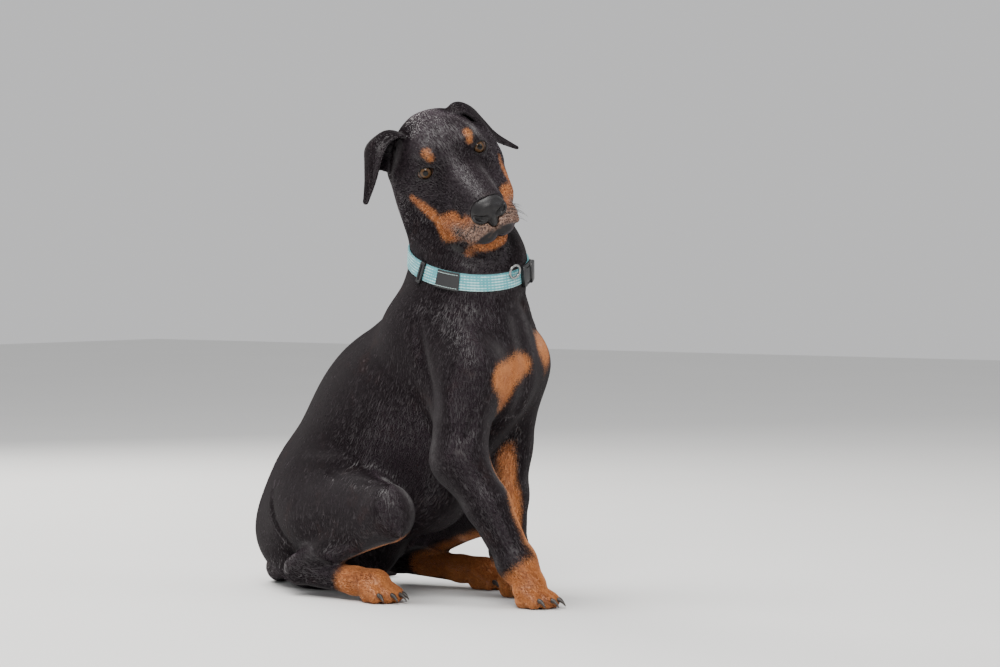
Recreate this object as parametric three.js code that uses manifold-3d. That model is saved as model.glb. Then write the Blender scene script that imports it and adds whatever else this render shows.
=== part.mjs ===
// A sitting doberman pinscher puppy, about fourteen weeks old, as a life-size still model.
// Millimetres, +Z up. The dog sits on the floor at z = 0 and its chest faces -Y, its left side is +X.
// The flesh is one smooth field of rounded cones and ellipsoids laid along the bones and muscles.
// That field is turned into a closed skin, and thin cuts part the skin into the named parts.
import * as THREE from "three";
import { mergeVertices } from "three/addons/utils/BufferGeometryUtils.js";
import { triTable } from "three/addons/objects/MarchingCubes.js";
import Module from "manifold-3d";

const wasm = await Module();
wasm.setup();

// Vectors as plain arrays, because the field is read millions of times.
const add = (a, b) => [a[0] + b[0], a[1] + b[1], a[2] + b[2]];
const sub = (a, b) => [a[0] - b[0], a[1] - b[1], a[2] - b[2]];
const times = (a, s) => [a[0] * s, a[1] * s, a[2] * s];
const dot = (a, b) => a[0] * b[0] + a[1] * b[1] + a[2] * b[2];
const cross = (a, b) => [
  a[1] * b[2] - a[2] * b[1],
  a[2] * b[0] - a[0] * b[2],
  a[0] * b[1] - a[1] * b[0],
];
const unit = (a) => times(a, 1 / Math.hypot(...a));
const mirrored = (a) => [-a[0], a[1], a[2]];

// The shapes that the flesh is made of. Each gives its distance to a point, in millimetres.
// A cone may be flattened to `by` of its radius along the direction `flat`.
function cone(a, b, ra, rb, by = 1, flat = [1, 0, 0]) {
  const [dx, dy, dz] = sub(b, a);
  const inverse = 1 / (dx * dx + dy * dy + dz * dz);
  const n = unit(flat);
  const squeeze = 1 / by - 1;
  return (x, y, z) => {
    const px = x - a[0];
    const py = y - a[1];
    const pz = z - a[2];
    const t = Math.min(1, Math.max(0, (px * dx + py * dy + pz * dz) * inverse));
    let qx = px - t * dx;
    let qy = py - t * dy;
    let qz = pz - t * dz;
    const r = ra + (rb - ra) * t;
    const trueLength = Math.hypot(qx, qy, qz);
    if (by === 1 || trueLength < 1e-6) return trueLength - r;
    const across = (qx * n[0] + qy * n[1] + qz * n[2]) * squeeze;
    qx += across * n[0];
    qy += across * n[1];
    qz += across * n[2];
    const squeezed = Math.hypot(qx, qy, qz);
    return ((squeezed - r) * trueLength) / squeezed;
  };
}

const ball = (c, r) => cone(c, add(c, [0, 0, 0.01]), r, r);

// An ellipsoid about c, with its radii along x, y and z.
function egg(c, radii) {
  return (x, y, z) => {
    const p = [x - c[0], y - c[1], z - c[2]];
    const k0 = Math.hypot(p[0] / radii[0], p[1] / radii[1], p[2] / radii[2]);
    const k1 = Math.hypot(p[0] / radii[0] ** 2, p[1] / radii[1] ** 2, p[2] / radii[2] ** 2);
    return k1 < 1e-9 ? -Math.min(...radii) : (k0 * (k0 - 1)) / k1;
  };
}

// Joins two distances with a fillet of about k.
function joined(a, b, k) {
  const h = Math.max(k - Math.abs(a - b), 0) / k;
  return Math.min(a, b) - (h * h * k) / 4;
}

// The frames of the dog and of its head.
const HEAD_CENTRE = [-12, -32, 446];
const HEAD_LEFT = [0.68, -0.6, 0.42];
const HEAD_BACK = unit([0.464, 0.815, 0.348]);
const HEAD_UP = unit(cross(HEAD_LEFT, HEAD_BACK));
const HEAD_SIDE = unit(cross(HEAD_BACK, HEAD_UP));

function toHead(p) {
  const q = sub(p, HEAD_CENTRE);
  return [dot(q, HEAD_SIDE), dot(q, HEAD_BACK), dot(q, HEAD_UP)];
}
function fromHead(p) {
  return add(
    HEAD_CENTRE,
    add(
      times(HEAD_SIDE, p[0]),
      add(times(HEAD_BACK, p[1]), times(HEAD_UP, p[2])),
    ),
  );
}

// The flesh, as a list of [shape, fillet], in the order in which they are joined.
const body = [];
const flesh = (fillet, shape) => body.push([shape, fillet]);

// Trunk: rump, loin, ribs, keel of the chest, forechest and belly.
flesh(1, egg([0, 118, 60], [66, 85, 66]));
flesh(30, cone([0, 106, 104], [0, 24, 188], 72, 76, 0.88));
flesh(30, cone([0, 30, 172], [0, -50, 232], 86, 80, 0.75));
flesh(24, cone([0, -40, 196], [0, -14, 122], 60, 44, 0.85));
flesh(24, cone([0, -72, 244], [0, -94, 224], 46, 40, 0.9));
flesh(20, cone([0, -8, 104], [0, 60, 92], 42, 44));
// Withers, and the neck up to the skull.
flesh(24, cone([0, -14, 250], [0, -34, 300], 48, 44, 0.9));
flesh(26, cone([0, -58, 278], [1, -66, 330], 61, 53, 0.86));
flesh(20, cone([0, -66, 330], [-9, -37, 400], 53, 49, 0.9));

// The joints of each foreleg. The right one reaches forward, the left one stands upright.
const FORELEGS = {
  right: {
    blade: [-38, -30, 262],
    shoulder: [-46, -96, 226],
    elbow: [-61, -98, 143],
    middle: [-53, -127, 100],
    wrist: [-40, -153, 44],
    knuckle: [-36, -167, 22],
    aim: [0.05, -1, 0],
  },
  left: {
    blade: [38, -30, 262],
    shoulder: [44, -86, 232],
    elbow: [53, -66, 150],
    middle: [48, -72, 100],
    wrist: [42, -80, 46],
    knuckle: [41, -88, 22],
    aim: [0.12, -1, 0],
  },
};
// The joints of each hind leg, folded in the sit with the foot flat on the floor.
const HINDLEGS = {
  right: {
    hip: [-44, 92, 92],
    knee: [-88, -30, 88],
    hock: [-78, 92, 26],
    instep: [-84, 14, 19],
    knuckle: [-86, -14, 18],
    aim: [-0.12, -1, 0],
  },
  left: {
    hip: [44, 92, 92],
    knee: [88, -30, 88],
    hock: [78, 92, 26],
    instep: [84, 14, 19],
    knuckle: [86, -14, 18],
    aim: [0.12, -1, 0],
  },
};
const PAW = { toe: 8.2, claw: 10, clawRoot: 2.7, clawMiddle: 1.9, clawTip: 0.7 };
// Each toe's place across the paw, how far its tip lies ahead, and the height of its knuckle.
const TOES = [
  { across: -14.5, ahead: 14, height: 17 },
  { across: -5, ahead: 22, height: 20 },
  { across: 5, ahead: 22, height: 20 },
  { across: 14.5, ahead: 14, height: 17 },
];

// The knuckle, tip and claw of every toe of one paw.
function toesOf(limb) {
  const ahead = unit(limb.aim);
  const across = unit(cross(ahead, [0, 0, 1]));
  const floor = [limb.knuckle[0], limb.knuckle[1], 0];
  return TOES.map((toe) => {
    const root = add(floor, add(times(across, toe.across * 0.8), times(ahead, -4)));
    const tip = add(floor, add(times(across, toe.across), times(ahead, toe.ahead)));
    const splay = unit(add(ahead, times(across, toe.across * 0.012)));
    return {
      root: add(root, [0, 0, toe.height]),
      tip: add(tip, [0, 0, PAW.toe - 0.6]),
      claw: add(tip, add(times(splay, PAW.toe - 2), [0, 0, PAW.toe + 0.6])),
      point: add(tip, add(times(splay, PAW.toe + PAW.claw - 3), [0, 0, 3])),
    };
  });
}

function paw(limb) {
  const ahead = unit(limb.aim);
  const [x, y] = limb.knuckle;
  flesh(8, ball([x, y, 12], 15));
  flesh(6, egg(add([x, y, 6], times(ahead, 1)), [19, 13, 9]));
  for (const toe of toesOf(limb))
    flesh(2.5, cone(toe.root, toe.tip, PAW.toe, PAW.toe));
}
function foreleg(l) {
  flesh(26, cone(l.blade, l.shoulder, 38, 32, 0.75));
  flesh(20, cone(l.shoulder, l.elbow, 33, 28, 0.88));
  flesh(12, cone(l.elbow, l.middle, 26, 22));
  flesh(8, cone(l.middle, l.wrist, 22, 18));
  flesh(6, ball(l.wrist, 19.5));
  flesh(8, cone(l.wrist, l.knuckle, 17.5, 16));
  paw(l);
}
function hindleg(l) {
  const side = Math.sign(l.hip[0]);
  flesh(26, cone(l.hip, l.knee, 54, 27, 0.8));
  flesh(14, cone(add(l.hip, [side * 12, -16, -12]), l.knee, 46, 26, 0.8));
  flesh(8, cone(l.knee, l.hock, 23, 15));
  flesh(6, cone(l.hock, l.instep, 15, 14));
  flesh(6, cone(l.instep, l.knuckle, 14, 15));
  paw(l);
}
foreleg(FORELEGS.right);
foreleg(FORELEGS.left);
hindleg(HINDLEGS.right);
hindleg(HINDLEGS.left);

// The head, in its own frame: x to its left, y to the back, z up. It is the same on both sides.
const EYE = { centre: [27.5, -43.5, 5.2], radius: 10 };
const skull = [];
const bone = (fillet, shape) => skull.push([shape, fillet]);
bone(1, egg([0, 0, 2], [43, 48, 36]));
bone(16, egg([0, -30, 12], [37, 30, 27]));
bone(12, cone([33, -16, -20], [34, 14, -14], 22, 20));
bone(10, cone([28, -46, -9], [40, -14, -4], 13, 14));
bone(9, ball([20, -44, 20], 11));
bone(14, cone([0, -44, -14], [0, -108, -23], 29, 22, 0.95));
bone(9, cone([15, -58, -38], [14, -110, -42], 18.5, 16));
bone(8, ball([0, -116, -24], 18));
bone(8, ball([8, -120, -44], 12));
bone(9, cone([0, -24, -44], [0, -104, -61], 26, 14));
bone(12, ball([0, 34, 3], 20));
bone(12, cone([34, -28, -26], [25, -76, -34], 18, 16));
bone(5, ball(EYE.centre, EYE.radius + 1.6));

const headOnly = (x, y, z) => {
  let f = 1e9;
  for (const [shape, k] of skull) f = joined(f, shape(Math.abs(x), y, z), k);
  return f;
};
const headField = (x, y, z) => headOnly(...toHead([x, y, z]));
const bodyField = (x, y, z) => {
  let f = 1e9;
  for (const [shape, k] of body) f = joined(f, shape(x, y, z), k);
  return f;
};
const dogField = (x, y, z) => joined(bodyField(x, y, z), headField(x, y, z), 14);

// The nose leather: a pad broad above, a wing on each side, and a foot at the groove of the lip.
const noseShapes = [
  [egg([0, -120, -17], [15.5, 14, 9.5]), 1],
  [egg([9.5, -124, -23.5], [9, 9.5, 9]), 3.5],
  [egg([0, -126, -24], [6, 9, 9]), 2.5],
  [egg([0, -124, -32], [6, 8.5, 8]), 3],
];
const noseField = (x, y, z) => {
  const p = toHead([x, y, z]);
  let f = 1e9;
  for (const [shape, k] of noseShapes) f = joined(f, shape(Math.abs(p[0]), p[1], p[2]), k);
  return f;
};

// Dual surface of a field's zero on a grid: one vertex for each sheet in each cell.
const CORNERS = [
  [0, 0, 0], [1, 0, 0], [1, 1, 0], [0, 1, 0],
  [0, 0, 1], [1, 0, 1], [1, 1, 1], [0, 1, 1],
];
const EDGES = [
  [0, 1], [1, 2], [2, 3], [3, 0], [4, 5], [5, 6],
  [6, 7], [7, 4], [0, 4], [1, 5], [2, 6], [3, 7],
];

// Which sheet of a cell each crossed edge belongs to, from the marching cubes triangles.
function sheetsOf(code) {
  const sheet = new Int8Array(12).fill(-1);
  let count = 0;
  for (let i = code * 16; triTable[i] !== -1 && i < code * 16 + 15; i += 3) {
    const three = [triTable[i], triTable[i + 1], triTable[i + 2]];
    const found = [...new Set(three.map((e) => sheet[e]).filter((s) => s >= 0))];
    const into = found.length ? found[0] : count++;
    for (const e of three) sheet[e] = into;
    for (const old of found.slice(1))
      for (let e = 0; e < 12; e++) if (sheet[e] === old) sheet[e] = into;
  }
  return sheet;
}
const CODES = 1 << CORNERS.length;
const SHEETS = [...Array(CODES).keys()].map(sheetsOf);

// The skin of a field at a level, inside a box. Two rows of cells at the border stay outside it.
function skinOf(field, lo, hi, step, level = 0) {
  const n = lo.map((v, i) => Math.ceil((hi[i] - v) / step) + 1);
  const at = (i, j, k) => i + n[0] * (j + n[1] * k);
  const value = new Float64Array(n[0] * n[1] * n[2]).fill(step);
  for (let k = 2; k + 2 < n[2]; k++)
    for (let j = 2; j + 2 < n[1]; j++)
      for (let i = 2; i + 2 < n[0]; i++)
        value[at(i, j, k)] =
          field(lo[0] + i * step, lo[1] + j * step, lo[2] + k * step) - level;
  const points = [];
  const vertexOf = new Map();
  for (let k = 0; k + 1 < n[2]; k++)
    for (let j = 0; j + 1 < n[1]; j++)
      for (let i = 0; i + 1 < n[0]; i++) {
        let code = 0;
        const v = CORNERS.map((c) => value[at(i + c[0], j + c[1], k + c[2])]);
        v.forEach((x, c) => {
          if (x < 0) code |= 1 << c;
        });
        if (code === 0 || code === CODES - 1) continue;
        const sheet = SHEETS[code];
        const sums = new Map();
        for (let e = 0; e < 12; e++) {
          if (sheet[e] < 0) continue;
          const [a, b] = EDGES[e];
          const t = v[a] / (v[a] - v[b]);
          const p = CORNERS[a].map((c, q) => c + (CORNERS[b][q] - c) * t);
          const s = sums.get(sheet[e]) || [0, 0, 0, 0];
          sums.set(sheet[e], [s[0] + p[0], s[1] + p[1], s[2] + p[2], s[3] + 1]);
        }
        for (const [name, s] of sums) {
          const p = [
            lo[0] + (i + s[0] / s[3]) * step,
            lo[1] + (j + s[1] / s[3]) * step,
            lo[2] + (k + s[2] / s[3]) * step,
          ];
          vertexOf.set(at(i, j, k) * 12 + name, points.length / 3);
          points.push(...ontoSkin(field, p, level, step));
        }
      }
  const faces = [];
  const around = [
    [[0, -1, -1], [0, 0, -1], [0, 0, 0], [0, -1, 0]],
    [[-1, 0, -1], [-1, 0, 0], [0, 0, 0], [0, 0, -1]],
    [[-1, -1, 0], [0, -1, 0], [0, 0, 0], [-1, 0, 0]],
  ];
  const along = [[1, 0, 0], [0, 1, 0], [0, 0, 1]];
  for (let k = 1; k + 1 < n[2]; k++)
    for (let j = 1; j + 1 < n[1]; j++)
      for (let i = 1; i + 1 < n[0]; i++)
        for (let d = 0; d < 3; d++) {
          const a = value[at(i, j, k)];
          const o = along[d];
          const b = value[at(i + o[0], j + o[1], k + o[2])];
          if (a < 0 === b < 0) continue;
          const quad = around[d].map((c) => {
            const ends = [[-c[0], -c[1], -c[2]], [o[0] - c[0], o[1] - c[1], o[2] - c[2]]];
            const edge = EDGES.findIndex(([p, q]) =>
              [[p, q], [q, p]].some(([f, g]) =>
                CORNERS[f].every((w, m) => w === ends[0][m]) &&
                CORNERS[g].every((w, m) => w === ends[1][m])));
            const cell = [i + c[0], j + c[1], k + c[2]];
            let code = 0;
            CORNERS.forEach((w, m) => {
              if (value[at(cell[0] + w[0], cell[1] + w[1], cell[2] + w[2])] < 0)
                code |= 1 << m;
            });
            return vertexOf.get(at(...cell) * 12 + SHEETS[code][edge]);
          });
          if (a >= 0) quad.reverse();
          const far = (p, q) =>
            Math.hypot(...[0, 1, 2].map((m) => points[3 * p + m] - points[3 * q + m]));
          const [p, q, r, s] = quad;
          if (far(p, r) <= far(q, s)) faces.push(p, q, r, p, r, s);
          else faces.push(q, r, s, q, s, p);
        }
  return { points, faces };
}

// Moves a point onto the field's level by a few steps along its slope, at most half a cell.
function ontoSkin(field, start, level, step) {
  const h = 0.2;
  let p = start;
  for (let turn = 0; turn < 3; turn++) {
    const f = field(...p) - level;
    const g = [
      field(p[0] + h, p[1], p[2]) - field(p[0] - h, p[1], p[2]),
      field(p[0], p[1] + h, p[2]) - field(p[0], p[1] - h, p[2]),
      field(p[0], p[1], p[2] + h) - field(p[0], p[1], p[2] - h),
    ].map((v) => v / (2 * h));
    const slope = Math.max(dot(g, g), 0.25);
    p = sub(p, times(g, f / slope));
  }
  const moved = sub(p, start);
  const length = Math.hypot(...moved);
  return length > step / 2 ? add(start, times(moved, step / 2 / length)) : p;
}

function geometryOf({ points, faces }) {
  const g = new THREE.BufferGeometry();
  g.setAttribute("position", new THREE.Float32BufferAttribute(points, 3));
  g.setIndex(faces);
  return g;
}

// A closed solid for cutting and joining, and back to a mesh's geometry.
function solid(geometry) {
  const bare = geometry.clone();
  bare.deleteAttribute("normal");
  bare.deleteAttribute("uv");
  const merged = mergeVertices(bare, 1e-4);
  const made = new wasm.Manifold(
    new wasm.Mesh({
      numProp: 3,
      vertProperties: merged.attributes.position.array,
      triVerts: new Uint32Array(merged.index.array),
    }),
  );
  return made;
}
function largest(made) {
  return made.decompose().reduce((a, b) => (a.volume() > b.volume() ? a : b));
}
function backToGeometry(made) {
  const { vertProperties, triVerts, numProp } = largest(made).getMesh();
  const points = [];
  for (let i = 0; i < vertProperties.length; i += numProp)
    points.push(...vertProperties.subarray(i, i + 3));
  return geometryOf({ points, faces: [...triVerts] });
}
const skinSolid = (field, lo, hi, step, level = 0) =>
  solid(geometryOf(skinOf(field, lo, hi, step, level)));

const middleOf = (ring) => times(ring.reduce(add), 1 / ring.length);
// A closed skin around rings of points, from a first ring to a last one, with a point at each end.
function loft(rings, first, last) {
  const n = rings[0].length;
  const points = [...rings.flat(2), ...first, ...last];
  const start = rings.length * n;
  const faces = [];
  for (let j = 0; j < n; j++) {
    const next = (j + 1) % n;
    faces.push(start, next, j);
    for (let i = 0; i + 1 < rings.length; i++) {
      const a = i * n;
      faces.push(a + j, a + next, a + n + next, a + j, a + n + next, a + n + j);
    }
    const a = (rings.length - 1) * n;
    faces.push(start + 1, a + j, a + next);
  }
  return geometryOf({ points, faces });
}
// Turns a loft's solid the right way out.
function closed(geometry) {
  const made = solid(geometry);
  if (made.volume() > 0) return made;
  const turned = geometry.clone();
  turned.setIndex([...turned.index.array].reverse());
  return solid(turned);
}
// A tube of changing radius along a smooth curve through some points.
function tube(points, radii, sides, steps) {
  const curve = new THREE.CatmullRomCurve3(points.map((p) => new THREE.Vector3(...p)));
  const frames = curve.computeFrenetFrames(steps);
  const radius = (t) => {
    const at = t * (radii.length - 1);
    const i = Math.min(Math.floor(at), radii.length - 2);
    return radii[i] + (radii[i + 1] - radii[i]) * (at - i);
  };
  const rings = [];
  for (let i = 0; i <= steps; i++) {
    const c = curve.getPointAt(i / steps);
    const ring = [];
    for (let j = 0; j < sides; j++) {
      const angle = (2 * Math.PI * j) / sides;
      const p = c.clone();
      p.addScaledVector(frames.normals[i], radius(i / steps) * Math.cos(angle));
      p.addScaledVector(frames.binormals[i], radius(i / steps) * Math.sin(angle));
      ring.push(p.toArray());
    }
    rings.push(ring);
  }
  return closed(loft(rings, curve.getPointAt(0).toArray(), curve.getPointAt(1).toArray()));
}
// A box about a centre, with its own axes.
function box(centre, sizes, axes = [[1, 0, 0], [0, 1, 0], [0, 0, 1]]) {
  const g = new THREE.BoxGeometry(...sizes);
  const turn = new THREE.Matrix4().makeBasis(...axes.map((a) => new THREE.Vector3(...a)));
  turn.setPosition(...centre);
  return g.applyMatrix4(turn);
}
// A block with an outline in y and z that fills x from one value to another.
function block(outline, x0, x1) {
  const shape = new THREE.Shape(outline.map(([y, z]) => new THREE.Vector2(y, z)));
  const g = new THREE.ExtrudeGeometry(shape, { depth: x1 - x0, bevelEnabled: false });
  g.applyMatrix4(new THREE.Matrix4().set(0, 0, 1, x0, 1, 0, 0, 0, 0, 1, 0, 0, 0, 0, 0, 1));
  return solid(g);
}

// The two sides of a plane, with the thin gap between them. The first lies where the normal points.
const GAP = 0.3;
function parted(made, normal, point) {
  const n = unit(normal);
  const at = dot(n, point);
  return [
    made.trimByPlane(n, at + GAP / 2),
    made.trimByPlane(times(n, -1), -(at - GAP / 2)),
  ];
}

// Tail, ears, lids, mouth line and collar are made as their own forms on the flesh.
const TAIL = {
  route: [[0, 168, 30], [10, 196, 16], [42, 210, 9.5], [84, 198, 8.5], [112, 172, 7], [128, 140, 5]],
  radii: [17, 14, 11, 9, 7.5, 4.5],
};
const tailForm = tube(TAIL.route, TAIL.radii, 12, 22);

// An ear is a flap of even thickness. Rows of points lead from its root round the cup, over the fold
// and down to the tip, and each row goes from its upper edge round the back to its lower edge.
const EARS = {
  right: [
    [[24, -8, 24], [26, 6, 26], [33, 15, 14], [34, 11, -6]],
    [[33, -10, 35], [41, 7, 37], [51, 16, 20], [47, 9, -8]],
    [[47, -12, 35], [55, -3, 39], [65, 9, 28], [61, 9, 3]],
    [[60, -17, 26], [66, -12, 28], [73, 1, 17], [71, 6, -2]],
    [[73, -17, 7], [76, -13, 7], [80, -4, 2], [81, 1, -7]],
    [[87, -8, -16], [88, -7, -17], [89, -6, -17], [89, -5, -16]],
  ],
  left: [
    [[16, -11, 25], [18, 4, 27], [27, 15, 17], [30, 13, -2]],
    [[26, -11, 32], [31, 4, 34], [39, 16, 23], [40, 15, 0]],
    [[38, -10, 26], [42, 4, 27], [50, 16, 14], [50, 16, -3]],
    [[48, -8, 8], [51, 4, 8], [56, 14, -1], [56, 16, -12]],
    [[57, -6, -16], [59, 4, -16], [64, 12, -21], [64, 14, -28]],
    [[77, 4, -40], [78, 5, -41], [78, 6, -41], [77, 7, -40]],
  ],
};
const EAR_THICK = 3.4;
function earForm(rows, side) {
  const curve = (points) => {
    const vectors = points.map((p) => new THREE.Vector3(...p));
    return new THREE.CatmullRomCurve3(vectors, false, "catmullrom", 0.5);
  };
  const rowCurves = rows.map(curve);
  const sheetAt = (s, t) =>
    curve(rowCurves.map((row) => row.getPoint(s).toArray())).getPoint(t).toArray();
  const steps = 15;
  const across = 7;
  const small = 0.01;
  const rings = [];
  for (let i = 0; i <= steps; i++) {
    const t = i / steps;
    const faceAt = (j, face) => {
      const s = j / across;
      const ahead = (v) => Math.min(1, v + small);
      const behind = (v) => Math.max(0, v - small);
      const along = sub(sheetAt(s, ahead(t)), sheetAt(s, behind(t)));
      const over = sub(sheetAt(ahead(s), t), sheetAt(behind(s), t));
      const out = times(unit(cross(along, over)), face * EAR_THICK * 0.5);
      const p = add(sheetAt(s, t), out);
      return fromHead([p[0] * side, p[1], p[2]]);
    };
    const ring = [];
    for (let j = 0; j <= across; j++) ring.push(faceAt(j, 1));
    for (let j = across; j >= 0; j--) ring.push(faceAt(j, -1));
    rings.push(ring);
  }
  return closed(loft(rings, middleOf(rings[0]), middleOf(rings[steps])));
}

// The eye opens between two lids, as a lens with its corners to the inside and the outside.
const LIDS = {
  aim: unit([0.36, -1, 0.2]),
  corners: [1, 0, -0.16],
  half: 8.8,
  rise: 6,
  drop: 5.2,
  rim: 1.9,
  corner: 1.2,
  inner: 3,
  outer: 22,
};
LIDS.across = unit(sub(LIDS.corners, times(LIDS.aim, dot(LIDS.corners, LIDS.aim))));
LIDS.up = cross(LIDS.across, LIDS.aim);
// A point of the opening's edge, at a share s from the inner corner to the outer, and its depth.
function lidPoint(side, s, rise, depth) {
  const flat = add(times(LIDS.across, s * LIDS.half), times(LIDS.up, rise * (1 - s * s)));
  const p = add(EYE.centre, add(flat, times(LIDS.aim, depth(flat))));
  return fromHead([p[0] * side, p[1], p[2]]);
}
function lidForm(side, rise) {
  const onBall = (flat) => Math.sqrt((EYE.radius + LIDS.corner) ** 2 - dot(flat, flat));
  const points = [-1, -0.75, -0.4, 0, 0.4, 0.75, 1].map((s) => lidPoint(side, s, rise, onBall));
  const radii = [LIDS.corner, LIDS.rim, LIDS.rim, LIDS.rim, LIDS.corner];
  return tube(points, radii, 6, 8);
}
function lidOpening(side) {
  const ringAt = (depth) => {
    const edge = [-1, -0.6, -0.2, 0.2, 0.6];
    const upper = edge.map((s) => lidPoint(side, s, LIDS.rise, () => depth));
    const lower = edge.map((s) => lidPoint(side, -s, -LIDS.drop, () => depth));
    return [...upper, ...lower];
  };
  const rings = [ringAt(LIDS.inner), ringAt(LIDS.outer)];
  return closed(loft(rings, middleOf(rings[0]), middleOf(rings[1])));
}

// The line of the mouth, from one corner round the front to the other, as a thin cutter.
const MOUTH = {
  half: [
    [0, -132, -42], [8, -132, -43.5], [15, -129, -46.5], [22, -120, -53],
    [30, -104, -61], [36, -88, -61], [38, -74, -54],
  ],
  radii: [0.7, 1.3, 1.3, 1.3, 0.7],
};
function mouthCutter() {
  const line = [...MOUTH.half.slice(1).reverse().map(mirrored), ...MOUTH.half];
  return tube(line.map(fromHead), MOUTH.radii, 5, 36);
}

const COLORS = {
  black: 0x1c191b,
  tan: 0xa8642e,
  leather: 0x17161a,
  iris: 0x6a3c16,
  webbing: 0x7fd0c4,
  plastic: 0x1b1c1e,
  steel: 0xb9bcc0,
};
const dog = new THREE.Group();
function place(name, made, color, roughness = 0.55, metalness = 0) {
  const geometry = made.isBufferGeometry ? made : backToGeometry(made);
  const mesh = new THREE.Mesh(
    geometry,
    new THREE.MeshStandardMaterial({ color, roughness, metalness }),
  );
  mesh.name = name;
  dog.add(mesh);
  return mesh;
}

// The size of the net's cells, and the boxes that hold the whole dog and its head.
const BODY_STEP = 16.6;
const HEAD_STEP = 8;
const PAW_STEP = 7;
const NOSE_STEP = 3.8;
const DOG_BOX = [[-150, -230, -30], [150, 240, 500]];
const HEAD_BOX = [[-150, -190, 300], [110, 70, 520]];
let trunk = skinSolid(dogField, ...DOG_BOX, BODY_STEP);
trunk = trunk.add(tailForm).trimByPlane([0, 0, 1], 0);

// The head is parted from the neck behind the chin and the nape, and the neck from the trunk.
const UNDER_CHIN = fromHead([0, -116, -80]);
const NAPE = fromHead([0, 48, -12]);
const HEAD_PLANE = [cross(HEAD_SIDE, sub(NAPE, UNDER_CHIN)), UNDER_CHIN];
const NECK_PLANE = [[0, -0.26, 0.966], [0, -57, 278]];
trunk = parted(trunk, ...HEAD_PLANE)[1];
let [neck, torso] = parted(trunk, ...NECK_PLANE);

// The collar: a woven band round the neck, pressed a little into the coat, with its fittings.
const COLLAR = {
  centre: [-2, -64, 333],
  up: unit([-0.27, -0.25, 1]),
  height: 15.4,
  press: 0.9,
  thick: 2.4,
};
// How far the neck's skin lies from the band's middle line, at an angle from the left side.
function neckRadius(ahead, height) {
  const centre = add(COLLAR.centre, times(COLLAR.up, height));
  let inner = 20;
  let outer = 90;
  while (outer - inner > 0.01) {
    const middle = (inner + outer) / 2;
    if (bodyField(...add(centre, times(ahead, middle))) < 0) inner = middle;
    else outer = middle;
  }
  return inner;
}
// A point on the band: an angle from the left side round the front, a height and a distance out.
// The band is straight from its lower edge to its upper edge, and everything on it lies so too.
function collarPoint(degrees, height, out) {
  const angle = (degrees * Math.PI) / 180;
  const flat = [Math.cos(angle), Math.sin(angle), 0];
  const ahead = unit(sub(flat, times(COLLAR.up, dot(flat, COLLAR.up))));
  const half = COLLAR.height / 2;
  const lower = neckRadius(ahead, -half);
  const upper = neckRadius(ahead, half);
  const radius = lower + ((upper - lower) * (height + half)) / COLLAR.height;
  const centre = add(COLLAR.centre, times(COLLAR.up, height));
  return add(centre, times(ahead, radius + out));
}
// A curved bar on the band with rounded edges. A whole turn closes on itself.
function bar(from, to, height, inner, outer, steps, rise = 0) {
  const bevel = Math.min(0.9, (outer - inner) / 3);
  const h = height / 2;
  const section = [
    [-h, inner], [-h, outer - bevel], [-h + bevel, outer],
    [h - bevel, outer], [h, outer - bevel], [h, inner],
  ];
  const whole = to - from >= 360;
  const rings = [];
  for (let i = 0; i <= steps; i++) {
    if (whole && i === steps) break;
    const degrees = from + ((to - from) * i) / steps;
    rings.push(section.map(([up, out]) => collarPoint(degrees, up + rise, out)));
  }
  if (!whole) {
    return closed(loft(rings, middleOf(rings[0]), middleOf(rings.at(-1))));
  }
  const n = section.length;
  const faces = [];
  rings.forEach((ring, i) => {
    const a = i * n;
    const b = ((i + 1) % rings.length) * n;
    for (let j = 0; j < n; j++) {
      const k = (j + 1) % n;
      faces.push(a + j, a + k, b + k, a + j, b + k, b + j);
    }
  });
  return closed(geometryOf({ points: rings.flat(2), faces }));
}
const strapOut = COLLAR.thick - COLLAR.press;
const strap = (gap) =>
  bar(0, 360, COLLAR.height + 2 * gap, -COLLAR.press - gap, strapOut + gap, 44);
const over = strapOut + GAP;
const fittings = {
  collar_slide: bar(160, 166, 20, over, over + 3, 3),
  collar_patch: bar(-175, -150, 16.4, over, over + 1.4, 5),
  collar_buckle: bar(-88, -64, 22, over + 0.1, over + 5.6, 8),
};
neck = neck.subtract(strap(GAP));
place("neck", neck, COLORS.black);
place("collar_strap", strap(0), COLORS.webbing, 0.8);
for (const [name, made] of Object.entries(fittings)) place(name, made, COLORS.plastic, 0.5);
// A steel ring for the tag stands at the band's upper edge, in front of the buckle.
const RING = { angle: -99, rise: 9, radius: 6.5, wire: 1.3 };
const ringCentre = collarPoint(RING.angle, RING.rise, over + RING.wire + 2.2);
const ringAcross = unit(sub(collarPoint(RING.angle + 1, 0, 0), collarPoint(RING.angle - 1, 0, 0)));
const ringForm = new THREE.TorusGeometry(RING.radius, RING.wire, 5, 14).applyMatrix4(
  new THREE.Matrix4()
    .makeBasis(
      new THREE.Vector3(...ringAcross),
      new THREE.Vector3(...COLLAR.up),
      new THREE.Vector3(...cross(ringAcross, COLLAR.up)),
    )
    .setPosition(...ringCentre),
);
place("collar_ring", solid(ringForm), COLORS.steel, 0.25, 1);

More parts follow.
